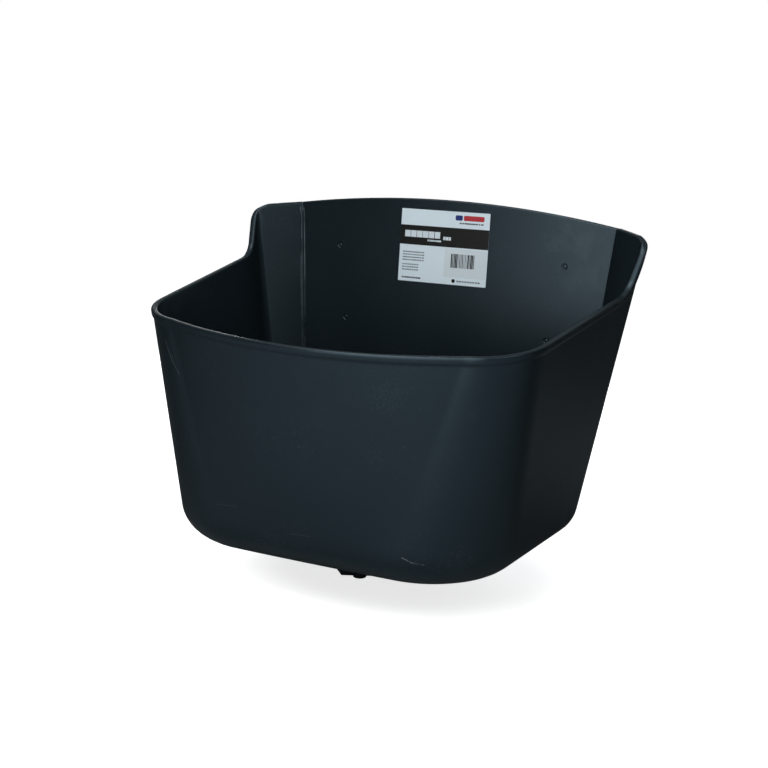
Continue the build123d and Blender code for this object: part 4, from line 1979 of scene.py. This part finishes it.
@dataclass
class Studio:
    """Pale floor with a bright front and a pool of painted light, white backdrop, soft lamps and the
    camera.

    The pairs floor_front, pool_reach and backdrop_start are distances in metres, backdrop_spread is in
    degrees, and shadow_fade and ceiling_start are shares.
    """

    floor_height: float
    turn: float = 27.0
    rise: float = 7.2785
    roll: float = 4.3543
    camera_place: tuple[float, float, float] = (650.56, -1398.09, 66.10)
    focal_pixels: float = 1579.95
    picture_pixels: float = 768.0
    sensor: float = 36.0
    view_depth: float = 100.0
    floor_reach: float = 6000.0
    # painted light on the floor, for light and reflections: its level behind the trough and before it
    floor_colour: tuple[float, float] = (0.10, 0.52)
    front_way: tuple[float, float, float] = (0.30, -0.954, 0.0)
    floor_front: tuple[float, float] = (0.0, 0.5)
    pool_centre: tuple[float, float] = (400.0, 500.0)
    pool_reach: tuple[float, float] = (0.10, 0.45)
    pool_share: float = 0.24
    room_tint: Colour = (0.86, 0.95, 1.0)
    shadow_depth: float = 0.80
    shadow_lift: float = 0.70
    shadow_centre: tuple[float, float] = (-8.0, -25.0)
    shadow_size: tuple[float, float] = (190.0, 222.0)
    shadow_fade: tuple[float, float] = (0.60, 1.08)
    backdrop_spread: tuple[float, float] = (17.0, 8.0)
    backdrop_start: tuple[float, float] = (2.5, 4.0)
    room_level: float = 0.04
    ceiling_level: float = 0.26
    ceiling_start: tuple[float, float] = (0.15, 0.9)
    lamps: tuple[Lamp, ...] = (
        Lamp("key_lamp", (-400, -1000, 1500), (0, -120, -100), (900, 900), 11.0),
        Lamp("fill_lamp", (1500, -900, 900), (0, -120, -100), (1200, 1200), 6.0),
        Lamp("front_panel", (80, -1000, 310), (80, 0, 310), (780, 1200), 7.0),
        Lamp("back_lamp", (-800, 1400, 150), (0, 0, -120), (1200, 700), 7.0),
    )

    @property
    def forward(self) -> Vector:
        """Level direction in which the camera looks."""
        turn = math.radians(self.turn)
        return Vector((-math.sin(turn), math.cos(turn), 0))

    def place_camera(self) -> None:
        """Make the camera and put it where the photograph was taken from."""
        turn, rise, roll = (math.radians(a) for a in (self.turn, self.rise, self.roll))
        right = Vector((math.cos(turn), math.sin(turn), 0))
        back = Vector((math.sin(turn) * math.cos(rise), -math.cos(turn) * math.cos(rise), math.sin(rise)))
        over = back.cross(right)
        across = right * math.cos(roll) + over * math.sin(roll)
        upright = over * math.cos(roll) - right * math.sin(roll)
        lens = bpy.data.cameras.new("camera")
        lens.sensor_fit = "HORIZONTAL"
        lens.sensor_width = self.sensor
        lens.lens = self.focal_pixels / self.picture_pixels * self.sensor
        lens.clip_end = self.view_depth
        camera = bpy.data.objects.new("camera", lens)
        stand = Matrix((across, upright, back)).transposed().to_4x4()
        camera.matrix_world = Matrix.Translation(Vector(self.camera_place) * MM) @ stand
        bpy.context.scene.collection.objects.link(camera)
        bpy.context.scene.camera = camera

    def seen_share(self, work: NodeWork, backdrop: Socket) -> Socket:
        """Share of the white that a ray sees: all from the camera, the backdrop in reflections and glass.

        Args:
            work: the node tree to work in.
            backdrop: how much of the backdrop lies where the ray goes.

        Returns:
            The share's socket.
        """
        path = work.node("ShaderNodeLightPath")
        glossy, through = path.outputs["Is Glossy Ray"], path.outputs["Is Transmission Ray"]
        mirrored = work.maths("ADD", glossy, through, clamp=True)
        shown = work.maths("MULTIPLY", mirrored, backdrop)
        return work.maths("MAXIMUM", path.outputs["Is Camera Ray"], shown)

    def floor_tone(self, work: NodeWork, place: Socket) -> Socket:
        """Painted light on the floor, for light and reflections: paler before the trough and in a painted
        pool of light behind it.

        Args:
            work: the node tree to work in.
            place: the place on the floor.

        Returns:
            The painted light's socket.
        """
        near_front = work.ease(work.measure("DOT_PRODUCT", place, self.front_way), *self.floor_front)
        centre = Vector((*self.pool_centre, self.floor_height)) * MM
        away = work.measure("DISTANCE", place, centre)
        pool = work.maths("SUBTRACT", 1.0, work.ease(away, *self.pool_reach))
        pale = work.maths("MAXIMUM", near_front, work.maths("MULTIPLY", pool, self.pool_share))
        behind, before = self.floor_colour
        return work.maths("MULTIPLY_ADD", pale, before - behind, behind)

    def beyond_shadow(self, work: NodeWork, place: Socket) -> Socket:
        """How far a place lies outside the oval round the trough in which its shadow shows.

        Args:
            work: the node tree to work in.
            place: the place on the floor.

        Returns:
            The socket of a share that is 0 in the shadow and 1 beyond it.
        """
        under = Vector((*self.shadow_centre, self.floor_height)) * MM
        shift = work.vector("SUBTRACT", place, under)
        wide, deep = (size * MM for size in self.shadow_size)
        side = Vector((self.forward.y, -self.forward.x, 0))
        across = work.measure("DOT_PRODUCT", shift, side / wide)
        along = work.measure("DOT_PRODUCT", shift, self.forward / deep)
        square = work.maths("MULTIPLY_ADD", across, across, work.maths("MULTIPLY", along, along))
        return work.ease(work.maths("SQRT", square), *self.shadow_fade)

    def lay_floor(self) -> None:
        """Make the pale floor, which keeps the object's soft shadow and is white elsewhere."""
        half = self.floor_reach
        corners = [(-half, -half), (half, -half), (half, half), (-half, half)]
        floor = mesh_object("studio_floor", [(x, y, self.floor_height) for x, y in corners], [(0, 1, 2, 3)])
        material = bpy.data.materials.new("studio_floor")
        material.use_nodes = True
        work = NodeWork(material.node_tree)
        work.tree.nodes.clear()
        place = work.node("ShaderNodeTexCoord").outputs["Object"]
        backdrop = work.ease(work.measure("DOT_PRODUCT", place, self.forward), *self.backdrop_start)
        # painted light: for light and reflections the floor is paler before the trough and in a pool behind
        # it
        tinted = work.vector("MULTIPLY", self.floor_tone(work, place), self.room_tint)
        plain = work.node("ShaderNodeBsdfDiffuse", {"Color": tinted})
        seen = work.node("ShaderNodeBsdfDiffuse", {"Color": (*[self.shadow_depth] * 3, 1)})
        beyond = self.beyond_shadow(work, place)
        lift = work.node("ShaderNodeEmission", {
            "Strength": work.maths("MULTIPLY_ADD", beyond, 1.0 - self.shadow_lift, self.shadow_lift),
        })
        lifted = work.node("ShaderNodeAddShader", {0: seen.outputs[0], 1: lift.outputs[0]})
        pick = work.node("ShaderNodeMixShader", {
            0: self.seen_share(work, backdrop), 1: plain.outputs[0], 2: lifted.outputs[0],
        })
        work.node("ShaderNodeOutputMaterial", {"Surface": pick.outputs[0]})
        floor.data.materials.append(material)

    def surround(self) -> None:
        """Make the world: white where it is seen, and for light a dim room with a pale ceiling."""
        world = bpy.data.worlds.new("studio")
        world.use_nodes = True
        work = NodeWork(world.node_tree)
        shade = next(node for node in work.tree.nodes if node.type == "BACKGROUND")
        way = work.node("ShaderNodeTexCoord").outputs["Generated"]
        edge, full = (math.cos(math.radians(angle)) for angle in self.backdrop_spread)
        backdrop = work.ease(work.measure("DOT_PRODUCT", way, self.forward), edge, full)
        ceiling = work.ease(work.measure("DOT_PRODUCT", way, (0, 0, 1)), *self.ceiling_start)
        level = work.maths("MULTIPLY_ADD", ceiling, self.ceiling_level, self.room_level)
        share = self.seen_share(work, backdrop)
        rest = work.maths("MULTIPLY", level, work.maths("SUBTRACT", 1.0, share))
        whiter = tuple(1.0 - value for value in self.room_tint)
        tone = work.vector("MULTIPLY_ADD", share, whiter, self.room_tint)
        work.tree.links.new(tone, shade.inputs["Color"])
        work.tree.links.new(work.maths("ADD", share, rest), shade.inputs["Strength"])
        bpy.context.scene.world = world

    def add_lamp(self, lamp: Lamp) -> None:
        """Make one soft lamp.

        Args:
            lamp: its name, place, aim, size and power.
        """
        light = bpy.data.lights.new(lamp.name, "AREA")
        light.shape = "RECTANGLE"
        light.size, light.size_y = (size * MM for size in lamp.size)
        light.energy = lamp.power
        made = bpy.data.objects.new(lamp.name, light)
        made.location = Vector(lamp.place) * MM
        direction = (Vector(lamp.aim) - Vector(lamp.place)).normalized()
        made.rotation_euler = direction.to_track_quat("-Z", "Y").to_euler()
        bpy.context.scene.collection.objects.link(made)

    def build(self) -> None:
        """Set the whole studio up."""
        bpy.context.scene.view_settings.view_transform = "Standard"
        self.place_camera()
        self.lay_floor()
        self.surround()
        for lamp in self.lamps:
            self.add_lamp(lamp)


TROUGH_SCRAPES = (
    Scrape((-149.5, -256.1, -86.0), (-141.0, -256.7, -102.8), 0.45, 0.30),
    Scrape((-141.0, -256.7, -102.8), (-132.0, -257.6, -114.0), 0.35, 0.25),
    Scrape((122.0, -269.8, -68.2), (131.0, -267.6, -67.9), 0.80, 0.55),
    Scrape((94.0, -249.1, -240.2), (102.5, -247.1, -243.3), 0.75, 0.38),
    Scrape((102.5, -247.1, -243.3), (112.0, -243.8, -243.9), 0.60, 0.22),
    Scrape((-89.5, -251.2, -224.2), (-66.0, -253.6, -222.4), 0.40, 0.09),
    Scrape((-11.8, -252.9, -237.5), (9.0, -253.2, -236.2), 0.40, 0.09),
    Scrape((192.3, -112.0, -50.0), (192.1, -97.0, -55.0), 0.55, 0.20),
    Scrape((192.0, -82.0, -54.9), (191.6, -66.0, -63.0), 0.50, 0.16),
)
TROUGH_PATCHES = (
    # The first three lie on the back panel's right, where it catches the most light: their broad paler tone
    # is painted sheen, broken by mottle.
    Patch((124.0, -4.5, 32.0), 66.0, 0.30, 60.0, 0.62, 2.4),
    Patch((140.0, -4.5, -10.0), 54.0, 0.28, 75.0, 0.60, 2.4),
    Patch((134.0, -4.5, 30.0), 34.0, 0.22, 260.0, 0.42, 5.0),
    Patch((112.0, -4.5, -38.0), 36.0, 0.30, 650.0, 0.38),
    Patch((80.0, -272.0, -106.0), 48.0, 0.48, 800.0, 0.37),
    Patch((147.0, -252.0, -113.0), 24.0, 0.48),
    Patch((-88.0, -261.0, -156.0), 24.0, 0.46),
    Patch((68.0, -265.0, -158.0), 26.0, 0.42),
    Patch((138.0, -228.0, -238.0), 46.0, 0.48, 800.0, 0.37),
    Patch((-32.0, -247.0, -252.0), 52.0, 0.44, 800.0, 0.37),
)


def main() -> None:
    """Build every piece in order, then the studio round them."""
    logging.basicConfig(level=logging.INFO, format="%(name)s %(message)s")
    effects = Effects()
    trough_plastic = MouldedPlastic(
        "moulded_trough", scrapes=TROUGH_SCRAPES, patches=TROUGH_PATCHES,
    ).make(effects)
    fitting_plastic = MouldedPlastic(
        "moulded_fitting", colour=(0.0045, 0.0050, 0.0055), deep_colour=(0.0030, 0.0034, 0.0038),
        roughness=0.40, grain_scale=1100.0, speck_strength=0.2, wear_strength=0.0,
    ).make(effects)
    rubber = SealRubber().make(effects)
    film = PrintedFilm("sticker_film", (0.63, 0.73, 0.79), (0.60, 0.70, 0.76)).make(effects)
    inks = {ink: PrintedFilm(f"ink_{ink.label}", *ink.value).make(effects) for ink in Ink}
    plan = MouldPlan()
    moulding = MouldedShell(plan)
    shell = moulding.build()
    finish_piece(shell, Body.TROUGH, trough_plastic)
    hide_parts("trough_shell")
    ScrewKnockouts(moulding).build(trough_plastic)
    place = DrainPlace(plan)
    outlet = DrainOutlet(place)
    outlet.build(fitting_plastic)
    outlet.build_thread(fitting_plastic)
    cap = DrainCap(place)
    cap.build(fitting_plastic)
    cap.build_grips(fitting_plastic)
    cap.build_bar(fitting_plastic)
    carried_over = (("outlet_nut", fitting_plastic), ("outlet_gasket", rubber), ("cap_seal", rubber))
    for node, material in carried_over:
        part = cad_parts[node]
        for slot in part.material_slots:
            slot.material = material
        log.info("%s keeps its shape and gets %s", node, material.name)
    Sticker(plan).build(film, inks)
    Studio(cad_low.z / MM - cap.room_below).build()


if __name__ == "__main__":
    main()
